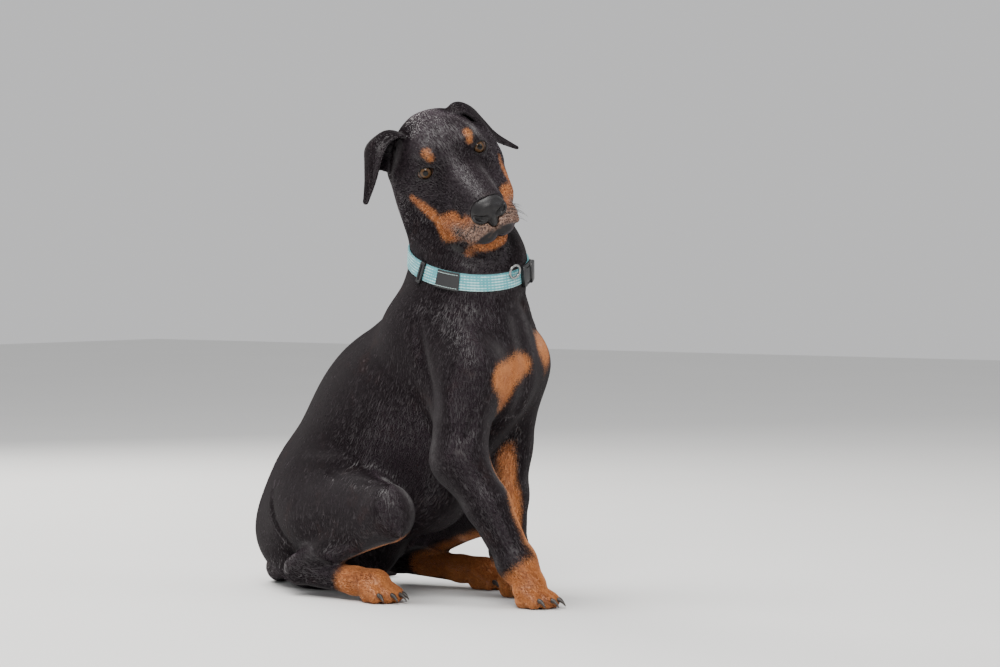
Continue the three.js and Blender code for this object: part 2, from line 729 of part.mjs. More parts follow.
// The head, with the nose, eyes and ears set into it.
let head = parted(skinSolid(dogField, ...HEAD_BOX, HEAD_STEP), ...HEAD_PLANE)[0];
const headGrown = skinSolid(dogField, ...HEAD_BOX, HEAD_STEP, 2 * GAP);
const NOSE = {
  centre: fromHead([0, -121, -22]),
  half: [32, 32, 32],
  nostril: [[6, -139, -25], [8.5, -134, -25], [12.5, -130.5, -23], [19, -126, -18]],
  nostrilRadii: [3, 3.6, 2.8, 1.2],
};
const noseBox = [sub(NOSE.centre, NOSE.half), add(NOSE.centre, NOSE.half)];
head = head.subtract(skinSolid(noseField, ...noseBox, NOSE_STEP, 2 * GAP));
let nose = skinSolid(noseField, ...noseBox, NOSE_STEP);
for (const side of [-1, 1]) {
  const line = NOSE.nostril.map(([x, y, z]) => fromHead([x * side, y, z]));
  nose = nose.subtract(tube(line, NOSE.nostrilRadii, 8, 8));
}
place("nose", nose, COLORS.leather, 0.4);
for (const [name, side] of [["right", -1], ["left", 1]]) {
  const at = fromHead([EYE.centre[0] * side, EYE.centre[1], EYE.centre[2]]);
  const eyeBall = (r) => solid(new THREE.SphereGeometry(r, 16, 10).translate(...at));
  head = head.subtract(lidOpening(side));
  head = head.add(lidForm(side, LIDS.rise)).add(lidForm(side, -LIDS.drop));
  head = head.subtract(eyeBall(EYE.radius + GAP));
  place("eye_" + name, eyeBall(EYE.radius), COLORS.iris, 0.1);
  const ear = earForm(EARS[name], side);
  place("ear_" + name, ear.subtract(headGrown), COLORS.black);
}
head = head.subtract(mouthCutter());
place("head", head, COLORS.black);

// The tail, cut off behind the rump.
const TAIL_PLANE = [[0.25, 1, -0.35], [0, 176, 26]];
const [tail, rest] = parted(torso, ...TAIL_PLANE);
torso = rest;
place("tail", tail, COLORS.black);

// Legs: a block in the shape of the leg's outline cuts each one from the trunk, and a box round the
// foot cuts off the paw. A foreleg's block reaches further in below the elbow than above it.
const FORE_OUTLINE = {
  right: [[-170, 262], [-66, 262], [-44, 190], [-62, 112], [-112, 40], [-112, -9], [-230, -9], [-230, 120]],
  left: [[-170, 262], [-60, 262], [-30, 190], [-40, 112], [-40, -9], [-150, -9], [-150, 120]],
};
const FORE_LOWER = {
  right: [[-160, 128], [-60, 128], [-62, 112], [-112, 40], [-112, -9], [-230, -9], [-230, 120]],
  left: [[-151, 128], [-40, 128], [-40, 112], [-40, -9], [-150, -9]],
};
const HIND_OUTLINE = [[-80, -9], [-80, 120], [-10, 136], [60, 132], [120, 100], [128, 30], [118, -9]];
// How far from the middle each block starts and ends, and each foot box's place and size.
const SPAN = { foreUpper: 36, foreLower: 4, hind: 46, far: 150 };
const FOOT = {
  fore: { back: -26, size: [70, 90, 76] },
  hind: { back: -28, size: [70, 76, 88] },
};
for (const [name, side] of [["right", -1], ["left", 1]]) {
  const across = (from) => (side < 0 ? [-SPAN.far, -from] : [from, SPAN.far]);
  const cutLeg = (kind, limb, cutter) => {
    const leg = torso.intersect(cutter);
    torso = torso.subtract(grow(cutter));
    const [x, y] = limb.knuckle;
    const foot = solid(box([x, y + FOOT[kind].back, 0], FOOT[kind].size));
    place(kind + "leg_" + name, leg.subtract(grow(foot)), COLORS.black);
    place(kind + "paw_" + name, pawSolid(limb).intersect(foot), COLORS.tan);
  };
  const upper = block(FORE_OUTLINE[name], ...across(SPAN.foreUpper));
  cutLeg("fore", FORELEGS[name], upper.add(block(FORE_LOWER[name], ...across(SPAN.foreLower))));
  cutLeg("hind", HINDLEGS[name], block(HIND_OUTLINE, ...across(SPAN.hind)));
}
place("torso", torso, COLORS.black);

// A cutter made larger all round by the gap, as the sum of copies moved each way.
function grow(cutter) {
  const moves = [[GAP, 0, 0], [-GAP, 0, 0], [0, GAP, 0], [0, -GAP, 0], [0, 0, GAP], [0, 0, -GAP]];
  return moves.map((m) => cutter.translate(m)).reduce((a, b) => a.add(b));
}
// A paw in its finer skin, with its claws fused in.
function pawSolid(limb) {
  const [x, y] = limb.knuckle;
  let made = skinSolid(dogField, [x - 42, y - 58, -26], [x + 42, y + 50, 66], PAW_STEP);
  for (const toe of toesOf(limb)) {
    const middle = times(add(toe.claw, toe.point), 0.5);
    const claw = tube([toe.claw, middle, toe.point], [PAW.clawRoot, PAW.clawMiddle, PAW.clawTip], 6, 3);
    made = made.add(claw);
  }
  return made.trimByPlane([0, 0, 1], 0);
}

// The origin is the middle of the bottom of the box that holds the whole dog.
const bounds = new THREE.Box3().setFromObject(dog);
const middle = bounds.getCenter(new THREE.Vector3());
dog.position.set(-middle.x, -middle.y, -bounds.min.z);

export default dog;
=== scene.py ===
"""A sitting doberman pinscher puppy: one skin under a short black and rust coat, eyes, nose, claws, collar.

The flesh is a smooth field of rounded cones and ellipsoids in millimetres, with z up and the chest facing
-y. It is the field of the solids with the finer forms of the face, ears and folds added to it.
"""

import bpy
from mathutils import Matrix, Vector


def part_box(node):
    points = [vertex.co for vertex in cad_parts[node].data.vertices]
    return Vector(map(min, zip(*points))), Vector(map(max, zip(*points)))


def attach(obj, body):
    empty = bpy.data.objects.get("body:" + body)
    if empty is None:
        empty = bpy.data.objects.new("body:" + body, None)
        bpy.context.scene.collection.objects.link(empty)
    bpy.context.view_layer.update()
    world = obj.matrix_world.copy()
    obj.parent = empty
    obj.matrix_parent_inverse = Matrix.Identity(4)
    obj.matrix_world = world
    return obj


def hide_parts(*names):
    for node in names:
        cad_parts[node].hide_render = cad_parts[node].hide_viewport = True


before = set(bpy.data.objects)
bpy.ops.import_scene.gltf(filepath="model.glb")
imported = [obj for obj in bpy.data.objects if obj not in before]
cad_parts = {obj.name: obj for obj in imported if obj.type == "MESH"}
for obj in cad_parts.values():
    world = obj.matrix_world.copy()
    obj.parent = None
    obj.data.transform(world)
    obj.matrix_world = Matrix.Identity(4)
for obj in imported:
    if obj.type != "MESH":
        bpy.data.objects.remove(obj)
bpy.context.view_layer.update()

import math
from functools import partial

import bmesh
import bpy
import numpy as np
import openvdb
from mathutils import Vector
from mathutils.bvhtree import BVHTree

MM = 0.001
COAT_DEPTH = 0.9
RANDOM_SEED = 7


# Vectors

def vec(*values):
    return np.array(values, float)


def unit(v):
    v = np.asarray(v, float)
    return v / np.maximum(np.linalg.norm(v, axis=-1, keepdims=True), 1e-12)


def dot(a, b):
    return np.sum(np.asarray(a) * b, axis=-1)


# The head's own frame: x to its left, y to the back, z up
HEAD_CENTRE = vec(-12, -32, 446)
HEAD_LEFT = vec(0.68, -0.6, 0.42)
HEAD_BACK = unit(vec(0.464, 0.815, 0.348))
HEAD_UP = unit(np.cross(HEAD_LEFT, HEAD_BACK))
HEAD_SIDE = unit(np.cross(HEAD_BACK, HEAD_UP))
HEAD_AXES = np.array([HEAD_SIDE, HEAD_BACK, HEAD_UP])


def to_head(points):
    return (np.asarray(points, float) - HEAD_CENTRE) @ HEAD_AXES.T


def from_head(points):
    return np.asarray(points, float) @ HEAD_AXES + HEAD_CENTRE


def head_way(direction):
    return np.asarray(direction, float) @ HEAD_AXES


def folded(q):
    """Points in the head's frame, with its right side folded onto its left."""
    q = q.copy()
    q[:, 0] = np.abs(q[:, 0])
    return q


def half_head(points):
    return folded(to_head(points))


EYE_CENTRE = vec(27.5, -43.5, 5.2)
EYE_RADIUS = 10.0

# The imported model's origin, found from the centre of an eye that both models place in the same way
eye_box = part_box("eye_right")
SHIFT = (np.array(eye_box[0]) + np.array(eye_box[1])) / 2 / MM - from_head(EYE_CENTRE * [-1, 1, 1])


def placed(points):
    """Points in millimetres in the dog's frame, as metres in the row's frame."""
    return (np.asarray(points, float) + SHIFT) * MM


def from_line(points, a, b):
    """The offset of each point from its nearest point between a and b, and that one's share of the way."""
    along = b - a
    t = np.clip((points - a) @ along / (along @ along), 0, 1)
    return points - a - t[:, None] * along, t


def within(points, low, high):
    return np.all((points > low) & (points < high), axis=1)


# Shapes of the field. Each knows the box outside which it can't matter, and gives its distance to points.

class Cone:
    """A rounded cone from a to b, flattened to a share of its radius along one direction."""

    def __init__(self, a, b, ra, rb, by=1.0, flat=(1, 0, 0)):
        self.a, self.b = vec(*a), vec(*b)
        self.ra, self.rb, self.by = ra, rb, by
        self.flat = unit(flat)
        reach = max(ra, rb)
        self.low = np.minimum(self.a, self.b) - reach
        self.high = np.maximum(self.a, self.b) + reach

    def __call__(self, p):
        q, t = from_line(p, self.a, self.b)
        r = self.ra + (self.rb - self.ra) * t
        true_length = np.linalg.norm(q, axis=1)
        if self.by == 1:
            return true_length - r
        q = q + ((q @ self.flat) * (1 / self.by - 1))[:, None] * self.flat
        squeezed = np.maximum(np.linalg.norm(q, axis=1), 1e-6)
        return (squeezed - r) * true_length / squeezed


class Egg:
    """An ellipsoid with radii along x, y and z."""

    def __init__(self, centre, radii):
        self.centre, self.radii = vec(*centre), vec(*radii)
        self.low, self.high = self.centre - self.radii, self.centre + self.radii

    def __call__(self, p):
        q = (p - self.centre) / self.radii
        k0 = np.linalg.norm(q, axis=1)
        k1 = np.maximum(np.linalg.norm(q / self.radii, axis=1), 1e-9)
        return k0 * (k0 - 1) / k1


def ball(centre, radius):
    return Cone(centre, vec(*centre) + [0, 0, 0.01], radius, radius)


def joined(a, b, k):
    """The union of two distances, with a fillet of about k."""
    h = np.maximum(k - np.abs(a - b), 0) / k
    return np.minimum(a, b) - h * h * k / 4


def carved(a, b, k):
    """The first shape with the second cut from it, with a rounded edge of about k."""
    return -joined(-a, b, k)


FAR = 60.0
REACH = 8.0


def build_up(shapes, points):
    """Joins shapes in their order at many points, each only near its own box."""
    f = np.full(len(points), FAR)
    for shape, k in shapes:
        margin = k + REACH
        near = within(points, shape.low - margin, shape.high + margin)
        if near.any():
            f[near] = joined(f[near], shape(points[near]), k)
    return f


# The flesh of the trunk and legs
body = [
    (Egg((0, 118, 60), (66, 85, 66)), 1),
    (Cone((0, 106, 104), (0, 24, 188), 72, 76, 0.88), 30),
    (Cone((0, 30, 172), (0, -50, 232), 86, 80, 0.75), 30),
    (Cone((0, -40, 196), (0, -14, 122), 60, 44, 0.85), 24),
    (Cone((0, -72, 244), (0, -94, 224), 46, 40, 0.9), 24),
    (Cone((0, -8, 104), (0, 60, 92), 42, 44), 20),
    (Cone((0, -14, 250), (0, -34, 300), 48, 44, 0.9), 24),
    (Cone((0, -58, 278), (1, -66, 330), 61, 53, 0.86), 26),
    (Cone((0, -66, 330), (-9, -37, 400), 53, 49, 0.9), 20),
]

FORELEGS = {
    "right": dict(
        blade=(-38, -30, 262), shoulder=(-46, -96, 226), elbow=(-61, -98, 143), middle=(-53, -127, 100),
        wrist=(-40, -153, 44), knuckle=(-36, -167, 22), aim=(0.05, -1, 0),
    ),
    "left": dict(
        blade=(38, -30, 262), shoulder=(44, -86, 232), elbow=(53, -66, 150), middle=(48, -72, 100),
        wrist=(42, -80, 46), knuckle=(41, -88, 22), aim=(0.12, -1, 0),
    ),
}
HINDLEG = dict(
    hip=(44, 92, 92), knee=(88, -30, 88), hock=(78, 92, 26), instep=(84, 14, 19), knuckle=(86, -14, 18),
    aim=(0.12, -1, 0),
)
HINDLEGS = {
    "right": {joint: np.multiply(place, (-1, 1, 1)) for joint, place in HINDLEG.items()},
    "left": HINDLEG,
}
TOE_RADIUS = 8.2
CLAW_LENGTH = 10
# Each toe's place across the paw, how far its tip lies ahead of the knuckle, and its knuckle's height
TOES = ((-14.5, 14, 17), (-5, 22, 20), (5, 22, 20), (14.5, 14, 17))


def toes_of(limb):
    """The knuckle, tip, claw root and claw point of each toe of a paw."""
    ahead = unit(limb["aim"])
    across = unit(np.cross(ahead, (0, 0, 1)))
    floor = vec(limb["knuckle"][0], limb["knuckle"][1], 0)
    for side, reach, height in TOES:
        tip = floor + across * side + ahead * reach
        splay = unit(ahead + across * side * 0.012)
        yield (
            floor + across * side * 0.8 - ahead * 4 + [0, 0, height],
            tip + [0, 0, TOE_RADIUS - 0.6],
            tip + splay * (TOE_RADIUS - 2) + [0, 0, TOE_RADIUS + 0.6],
            tip + splay * (TOE_RADIUS + CLAW_LENGTH - 3) + [0, 0, 3],
        )


def add_paw(limb):
    ahead = unit(limb["aim"])
    x, y = limb["knuckle"][:2]
    body.append((ball((x, y, 12), 15), 8))
    body.append((Egg(vec(x, y, 6) + ahead, (19, 13, 9)), 6))
    for knuckle, tip, _, _ in toes_of(limb):
        body.append((Cone(knuckle, tip, TOE_RADIUS, TOE_RADIUS), 2.5))


for limb in FORELEGS.values():
    body += [
        (Cone(limb["blade"], limb["shoulder"], 38, 32, 0.75), 26),
        (Cone(limb["shoulder"], limb["elbow"], 33, 28, 0.88), 20),
        (Cone(limb["elbow"], limb["middle"], 26, 22), 12),
        (Cone(limb["middle"], limb["wrist"], 22, 18), 8),
        (ball(limb["wrist"], 19.5), 6),
        (Cone(limb["wrist"], limb["knuckle"], 17.5, 16), 8),
    ]
    add_paw(limb)
for limb in HINDLEGS.values():
    side = math.copysign(1, limb["hip"][0])
    body += [
        (Cone(limb["hip"], limb["knee"], 54, 27, 0.8), 26),
        (Cone(vec(*limb["hip"]) + [side * 12, -16, -12], limb["knee"], 46, 26, 0.8), 14),
        (Cone(limb["knee"], limb["hock"], 23, 15), 8),
        (Cone(limb["hock"], limb["instep"], 15, 14), 6),
        (Cone(limb["instep"], limb["knuckle"], 14, 15), 6),
    ]
    add_paw(limb)

TAIL_ROUTE = ((0, 168, 30), (10, 196, 16), (42, 210, 9.5), (84, 198, 8.5), (112, 172, 7), (128, 140, 5))
TAIL_RADII = (17, 14, 11, 9, 7.5, 4.5)

# The flesh of the head, in the head's own frame, the same on both sides
skull = [
    (Egg((0, 0, 2), (43, 48, 36)), 1),
    (Egg((0, -30, 12), (37, 30, 27)), 16),
    (Cone((33, -16, -20), (34, 14, -14), 22, 20), 12),
    (Cone((28, -46, -9), (40, -14, -4), 13, 14), 10),
    (ball((20, -44, 20), 11), 9),
    (Cone((0, -44, -14), (0, -108, -23), 29, 22, 0.95), 14),
    (Cone((15, -58, -38), (14, -110, -42), 18.5, 16), 9),
    (ball((0, -116, -24), 18), 8),
    (ball((8, -120, -44), 12), 8),
    (Cone((0, -24, -44), (0, -104, -61), 26, 14), 9),
    (ball((0, 34, 3), 20), 12),
    (Cone((34, -28, -26), (25, -76, -34), 18, 16), 12),
]
MOUTH_HALF = (
    (0, -132, -42), (8, -132, -43.5), (15, -129, -46.5), (22, -120, -53), (30, -104, -61), (36, -88, -61),
    (38, -74, -54),
)

# An ear is a flap of even thickness. Rows of points lead from its root round the cup, over the fold and
# down to the tip, and each row goes from its upper edge round the back to its lower edge.
EARS = {
    "right": (
        ((24, -8, 24), (26, 6, 26), (33, 15, 14), (34, 11, -6)),
        ((33, -10, 35), (41, 7, 37), (51, 16, 20), (47, 9, -8)),
        ((47, -12, 35), (55, -3, 39), (65, 9, 28), (61, 9, 3)),
        ((60, -17, 26), (66, -12, 28), (73, 1, 17), (71, 6, -2)),
        ((73, -17, 7), (76, -13, 7), (80, -4, 2), (81, 1, -7)),
        ((87, -8, -16), (88, -7, -17), (89, -6, -17), (89, -5, -16)),
    ),
    "left": (
        ((16, -11, 25), (18, 4, 27), (27, 15, 17), (30, 13, -2)),
        ((26, -11, 32), (31, 4, 34), (39, 16, 23), (40, 15, 0)),
        ((38, -10, 26), (42, 4, 27), (50, 16, 14), (50, 16, -3)),
        ((48, -8, 8), (51, 4, 8), (56, 14, -1), (56, 16, -12)),
        ((57, -6, -16), (59, 4, -16), (64, 12, -21), (64, 14, -28)),
        ((77, 4, -40), (78, 5, -41), (78, 6, -41), (77, 7, -40)),
    ),
}
EAR_HALF_THICK = 1.3
EAR_REACH = 12.0


def smooth_line(points, t):
    """A Catmull-Rom curve through points, at shares t of its length in point numbers."""
    p = np.asarray(points, float)
    p = np.vstack([2 * p[0] - p[1], p, 2 * p[-1] - p[-2]])
    at = np.clip(np.asarray(t, float), 0, 1) * (len(p) - 3)
    i = np.minimum(at.astype(int), len(p) - 4)
    u = (at - i)[:, None]
    a, b, c, d = p[i], p[i + 1], p[i + 2], p[i + 3]
    return 0.5 * (2 * b + (c - a) * u + (2 * a - 5 * b + 4 * c - d) * u**2 + (3 * b - a - 3 * c + d) * u**3)


def ear_sheet(name, steps=44, across=20):
    """The middle surface of an ear as a grid of points in the head's frame."""
    rows = np.array([smooth_line(row, np.linspace(0, 1, across)) for row in EARS[name]])
    t = np.linspace(0, 1, steps)
    sheet = np.stack([smooth_line(rows[:, j], t) for j in range(across)], axis=1)
    return sheet * [-1 if name == "right" else 1, 1, 1]


def grid_faces(rows, columns):
    """The four-cornered faces of a grid of points, row after row."""
    i, j = np.meshgrid(np.arange(rows - 1), np.arange(columns - 1), indexing="ij")
    a = (i * columns + j).ravel()
    return np.stack([a, a + 1, a + columns + 1, a + columns], axis=1)


class Ear:
    """The distance to an ear, measured from its middle surface."""

    def __init__(self, name):
        sheet = ear_sheet(name)
        points = sheet.reshape(-1, 3)
        faces = grid_faces(*sheet.shape[:2])
        self.tree = BVHTree.FromPolygons([tuple(p) for p in points], [tuple(f) for f in faces.tolist()])
        self.low = points.min(0) - EAR_HALF_THICK - COAT_DEPTH
        self.high = points.max(0) + EAR_HALF_THICK + COAT_DEPTH

    def __call__(self, p):
        nearest = self.tree.find_nearest
        d = np.array([nearest(Vector(q))[3] for q in p])
        return d - EAR_HALF_THICK - COAT_DEPTH


ears = [(Ear("right"), 5.0), (Ear("left"), 5.0)]


# Small forms drawn on the skin: a crease or a ridge of some height and width along a line

class Stroke:
    """Raises the skin by height, or lowers it where that is negative, within width of a smooth line."""

    def __init__(self, points, height, width, fade=True):
        self.points = smooth_line(points, np.linspace(0, 1, 6 * len(points)))
        self.height, self.width, self.fade = height, width, fade
        self.low = self.points.min(0) - 3 * width
        self.high = self.points.max(0) + 3 * width

    def __call__(self, p):
        best = np.full(len(p), 1e9)
        place = np.zeros(len(p))
        last = len(self.points) - 1
        for i in range(last):
            q, t = from_line(p, self.points[i], self.points[i + 1])
            d = np.linalg.norm(q, axis=1)
            nearer = d < best
            best = np.where(nearer, d, best)
            place = np.where(nearer, (i + t) / last, place)
        strength = np.exp(-((best / self.width) ** 2))
        if self.fade:
            strength *= np.sqrt(np.clip(4 * place * (1 - place), 0, 1))
        return -self.height * strength


STROKE_REACH = 12


def draw(strokes, f, points):
    """Adds strokes to the distance f, where it is small."""
    for stroke in strokes:
        near = within(points, stroke.low, stroke.high) & (np.abs(f) < STROKE_REACH)
        if near.any():
            f[near] += stroke(points[near])
    return f


# Creases and ridges of the head, on its left and by mirroring on its right
face_strokes = [
    Stroke(MOUTH_HALF, -6.0, 2.1, fade=False),
    Stroke([vec(*p) + [1.5, -1, 5.5] for p in MOUTH_HALF[2:]], 1.8, 3.4),
    Stroke(((0, -133, -33), (0, -134, -38), (0, -132, -42)), -1.4, 1.1),
    Stroke(((0, -46, 32), (0, -30, 40), (0, -8, 44)), -1.6, 6.0),
    Stroke(((12, -54, 24), (22, -54, 24), (31, -46, 20)), 1.6, 4.0),
    Stroke(((14, -60, 4), (20, -58, -2), (28, -52, -5), (37, -44, -3)), -1.5, 2.6),
    Stroke(((20, -64, -12), (26, -54, -16), (36, -38, -16)), -1.2, 4.0),
    Stroke(((29, -62, -38), (34, -52, -32), (36, -40, -34), (34, -30, -44)), -1.8, 3.2),
    Stroke(((22, -70, -22), (23, -88, -26), (20, -104, -28)), -0.9, 4.0),
    Stroke(((34, -26, 26), (38, -14, 30), (36, 0, 36)), -1.0, 4.0),
]
# Folds of loose skin on the neck and flank, and the edges of the muscles
body_strokes = [
    Stroke(((-52, -44, 372), (-50, -82, 352), (-30, -106, 340), (0, -112, 338)), -1.8, 4.0),
    Stroke(((-54, -38, 360), (-54, -76, 342), (-34, -106, 330)), -1.4, 3.2),
    Stroke(((52, -74, 352), (44, -96, 338), (24, -112, 332)), -1.6, 3.6),
    Stroke(((8, -118, 300), (24, -120, 282), (40, -118, 262)), -2.6, 6.0),
    Stroke(((20, -118, 300), (34, -114, 284), (48, -106, 268)), 2.0, 5.0),
    Stroke(((-4, -124, 292), (-2, -132, 262), (0, -134, 222), (0, -120, 180)), -3.0, 9.0),
    Stroke(((-58, -50, 278), (-68, -58, 250), (-70, -70, 216), (-74, -76, 178)), -2.4, 7.0),
    Stroke(((-70, -66, 176), (-74, -58, 150), (-68, -56, 128)), -3.4, 5.0),
    Stroke(((-66, -124, 190), (-70, -116, 166), (-72, -108, 150)), -1.8, 5.0),
    Stroke(((-70, -92, 230), (-76, -98, 200), (-76, -100, 176)), 2.0, 9.0),
    Stroke(((-74, -20, 138), (-84, 10, 134), (-84, 44, 130)), -2.6, 4.5),
    Stroke(((64, -30, 270), (70, -44, 240), (72, -48, 200)), -2.0, 7.0),
]

# The flank's edge over the thigh, the thigh's upper edge and the fold before the hock, on both sides
FLANK_STROKES = (
    (((76, -16, 148), (80, 20, 144), (74, 60, 138), (66, 92, 138)), 1.3, 7.0),
    (((84, -52, 124), (96, -24, 122), (96, 14, 124), (84, 52, 126)), -2.4, 5.0),
    (((92, -6, 66), (92, 30, 60), (86, 66, 50)), -2.4, 5.0),
)
for mirror in (-1, 1, 1), (1, 1, 1):
    body_strokes += [Stroke(np.multiply(line, mirror), *form) for line, *form in FLANK_STROKES]
FOLD_DEPTH = 1.9
for fold in body_strokes:
    fold.height *= FOLD_DEPTH

# The nose: broad above, with comma-shaped nostrils and a groove down to the lip

NOSTRIL = ((6, -139, -25), (8.5, -134, -25), (12.5, -130.5, -23), (19, -126, -18))
NOSTRIL_RADII = (3.0, 3.7, 2.8, 1.2)
nose_shapes = [
    (Egg((0, -120, -17), (15.5, 14, 9.5)), 1),
    (Egg((9.5, -124, -23.5), (9, 9.5, 9)), 3.5),
    (Egg((0, -126, -24), (6, 9, 9)), 2.5),
    (Egg((0, -124, -32), (6, 8.5, 8)), 3),
]
nostril = [
    (Cone(a, b, ra, rb), 1.5)
    for a, b, ra, rb in zip(NOSTRIL, NOSTRIL[1:], NOSTRIL_RADII, NOSTRIL_RADII[1:])
]
nose_groove = [Stroke(((0, -137, -19), (0, -136, -28), (0, -133, -41)), -2.2, 1.0)]


def nose_field(q):
    """The distance to the nose in the head's frame, on its left side."""
    f = build_up(nose_shapes, q)
    f = carved(f, build_up(nostril, q), 1.6)
    return draw(nose_groove, f, q)


NOSE_FRONT = -122.0
NOSE_ROOT = -96.0
NOSE_SUNK = 1.2


def nose_seat(q):
    """The hollow of the muzzle that the nose fills, open to the front."""
    ahead = q.copy()
    ahead[:, 1] = np.maximum(q[:, 1], NOSE_FRONT)
    return build_up(nose_shapes, ahead) + NOSE_SUNK


# The opening of the lids is a lens seen along the way that the eye looks
LID_AIM = unit(vec(0.36, -1, 0.2))
LID_ACROSS = unit(vec(1, 0, -0.16) - LID_AIM * dot(vec(1, 0, -0.16), LID_AIM))
LID_UP = np.cross(LID_ACROSS, LID_AIM)
LID_HALF_WIDTH = 8.3
LID_RISE = 5.4
LID_DROP = 4.3
LID_THICK = 1.7
LID_REACH = 26.0
LID_FILLET = 6.0
LID_EDGE = 1.2
# The lids open no further back than this, ahead of the eye's centre
LID_DEPTH = 4.0


def lid_opening(q):
    """How far points round the eye's centre lie beside the opening between the lids."""
    s, h = q @ LID_ACROSS, q @ LID_UP
    up_radius = (LID_HALF_WIDTH**2 + LID_RISE**2) / (2 * LID_RISE)
    down_radius = (LID_HALF_WIDTH**2 + LID_DROP**2) / (2 * LID_DROP)
    above = np.hypot(s, h - LID_RISE + up_radius) - up_radius
    below = np.hypot(s, h + LID_DROP - down_radius) - down_radius
    return np.maximum(above, below)


def lids(f, p):
    """Domes the lids over the eyeball and opens them between the two corners."""
    q = p - EYE_CENTRE
    far = np.linalg.norm(q, axis=1)
    near = far < LID_REACH
    dome = far[near] - EYE_RADIUS - LID_THICK
    f[near] = joined(f[near], dome, LID_FILLET)
    opening = np.maximum(lid_opening(q[near]), LID_DEPTH - q[near] @ LID_AIM)
    f[near] = carved(f[near], opening, LID_EDGE)
    return f


tail_line = smooth_line(TAIL_ROUTE, np.linspace(0, 1, 26))
tail_radii = np.interp(np.linspace(0, 1, 26), np.linspace(0, 1, len(TAIL_RADII)), TAIL_RADII)
tail = [
    (Cone(a, b, ra, rb), 3.0 if i else 10.0)
    for i, (a, b, ra, rb) in enumerate(zip(tail_line, tail_line[1:], tail_radii, tail_radii[1:]))
]


def head_field(points):
    """The distance to the head with its ears, lids and creases."""
    q = to_head(points)
    mirrored = folded(q)
    f = build_up(skull, mirrored)
    f = lids(f, mirrored)
    f = draw(face_strokes, f, mirrored)
    front = mirrored[:, 1] < NOSE_ROOT
    if front.any():
        f[front] = carved(f[front], nose_seat(mirrored[front]), 2.0)
    for ear, k in ears:
        near = within(q, ear.low - EAR_REACH, ear.high + EAR_REACH)
        if near.any():
            f[near] = joined(f[near], ear(q[near]), k)
    return f


HEAD_REACH = 150.0
HEAD_FILLET = 14.0


def flesh(points):
    """The distance to the whole dog without its coat."""
    f = draw(body_strokes, build_up(body + tail, points), points)
    near = np.all(np.abs(points - HEAD_CENTRE) < HEAD_REACH, axis=1)
    if near.any():
        f[near] = joined(f[near], head_field(points[near]), HEAD_FILLET)
    return np.maximum(f + COAT_DEPTH, -points[:, 2])


def slope(field, points, h=0.25):
    """The field's gradient at many points."""
    g = np.empty_like(points)
    for axis in range(3):
        step = np.zeros(3)
        step[axis] = h
        g[:, axis] = (field(points + step) - field(points - step)) / (2 * h)
    return g


def onto(field, points, limit, turns=2):
    """Moves points onto the field's zero, none by more than a limit at a turn."""
    for _ in range(turns):
        g = slope(field, points)
        move = field(points)[:, None] * g / np.maximum(dot(g, g), 0.3)[:, None]
        length = np.linalg.norm(move, axis=1, keepdims=True)
        points = points - move * np.minimum(1, limit / np.maximum(length, 1e-9))
    return points


# The skin's grid is coarse at the trunk and fine at the head
BODY_CELL = 3.3
HEAD_CELL = 1.55
FOOT_CELL = 2.5
FOOT_LEVEL = 30
NECK_LEVEL = 326
LEVELS_FOOT, LEVELS_TOP = -6.0, 520.0
GRID_WIDE, GRID_DEEP = 108, 178
# The middle of the grid's layers at the trunk, and how far it moves up to the head
TRUNK_MIDDLE = (0, 4)
HEAD_SHIFT = (-5, -56)
# The height over which the cell size changes, at the neck and at the feet
NECK_CHANGE, FOOT_CHANGE = 34, 20


def smooth_share(value, low, high):
    """Goes smoothly from 0 to 1 as the value goes from low to high."""
    t = np.clip((value - low) / (high - low), 0, 1)
    return t * t * (3 - 2 * t)


def layer(z):
    """The cell size and the middle of the layer at height z."""
    up = smooth_share(z, NECK_LEVEL, NECK_LEVEL + NECK_CHANGE)
    foot = smooth_share(z, FOOT_LEVEL + FOOT_CHANGE, FOOT_LEVEL)
    cell = BODY_CELL + (HEAD_CELL - BODY_CELL) * up + (FOOT_CELL - BODY_CELL) * foot
    return cell, TRUNK_MIDDLE[0] + HEAD_SHIFT[0] * up, TRUNK_MIDDLE[1] + HEAD_SHIFT[1] * up


def grid_levels():
    """The height of each layer of the grid, finer at the feet and up the neck."""
    z = [LEVELS_FOOT]
    while z[-1] < LEVELS_TOP:
        z.append(z[-1] + layer(z[-1])[0])
    return np.array(z)


SKIN_MOVE = 1.4


def skin_net():
    """The skin's quads on the warped grid, each vertex moved onto the field."""
    levels = grid_levels()
    cells, mid_x, mid_y = layer(levels)
    i = np.arange(GRID_WIDE) - (GRID_WIDE - 1) / 2
    j = np.arange(GRID_DEEP) - (GRID_DEEP - 1) / 2
    values = np.full((GRID_WIDE, GRID_DEEP, len(levels)), FAR, np.float32)
    for k, z in enumerate(levels):
        x = mid_x[k] + i * cells[k]
        y = mid_y[k] + j * cells[k]
        points = np.stack([*np.meshgrid(x, y, indexing="ij"), np.full((GRID_WIDE, GRID_DEEP), z)], axis=-1)
        values[:, :, k] = flesh(points.reshape(-1, 3)).reshape(GRID_WIDE, GRID_DEEP)
    values[[0, -1]] = values[:, [0, -1]] = FAR
    grid = openvdb.FloatGrid(FAR)
    grid.copyFromArray(values)
    points, quads = grid.convertToQuads(0.0)
    where = np.interp(points[:, 2], np.arange(len(levels)), levels)
    cell, x0, y0 = layer(where)
    x = x0 + (points[:, 0] - (GRID_WIDE - 1) / 2) * cell
    y = y0 + (points[:, 1] - (GRID_DEEP - 1) / 2) * cell
    return onto(flesh, np.stack([x, y, where], axis=1), SKIN_MOVE, 3), quads[:, ::-1]


def linked(name, data):
    """A new object in the scene."""
    obj = bpy.data.objects.new(name, data)
    bpy.context.scene.collection.objects.link(obj)
    return obj


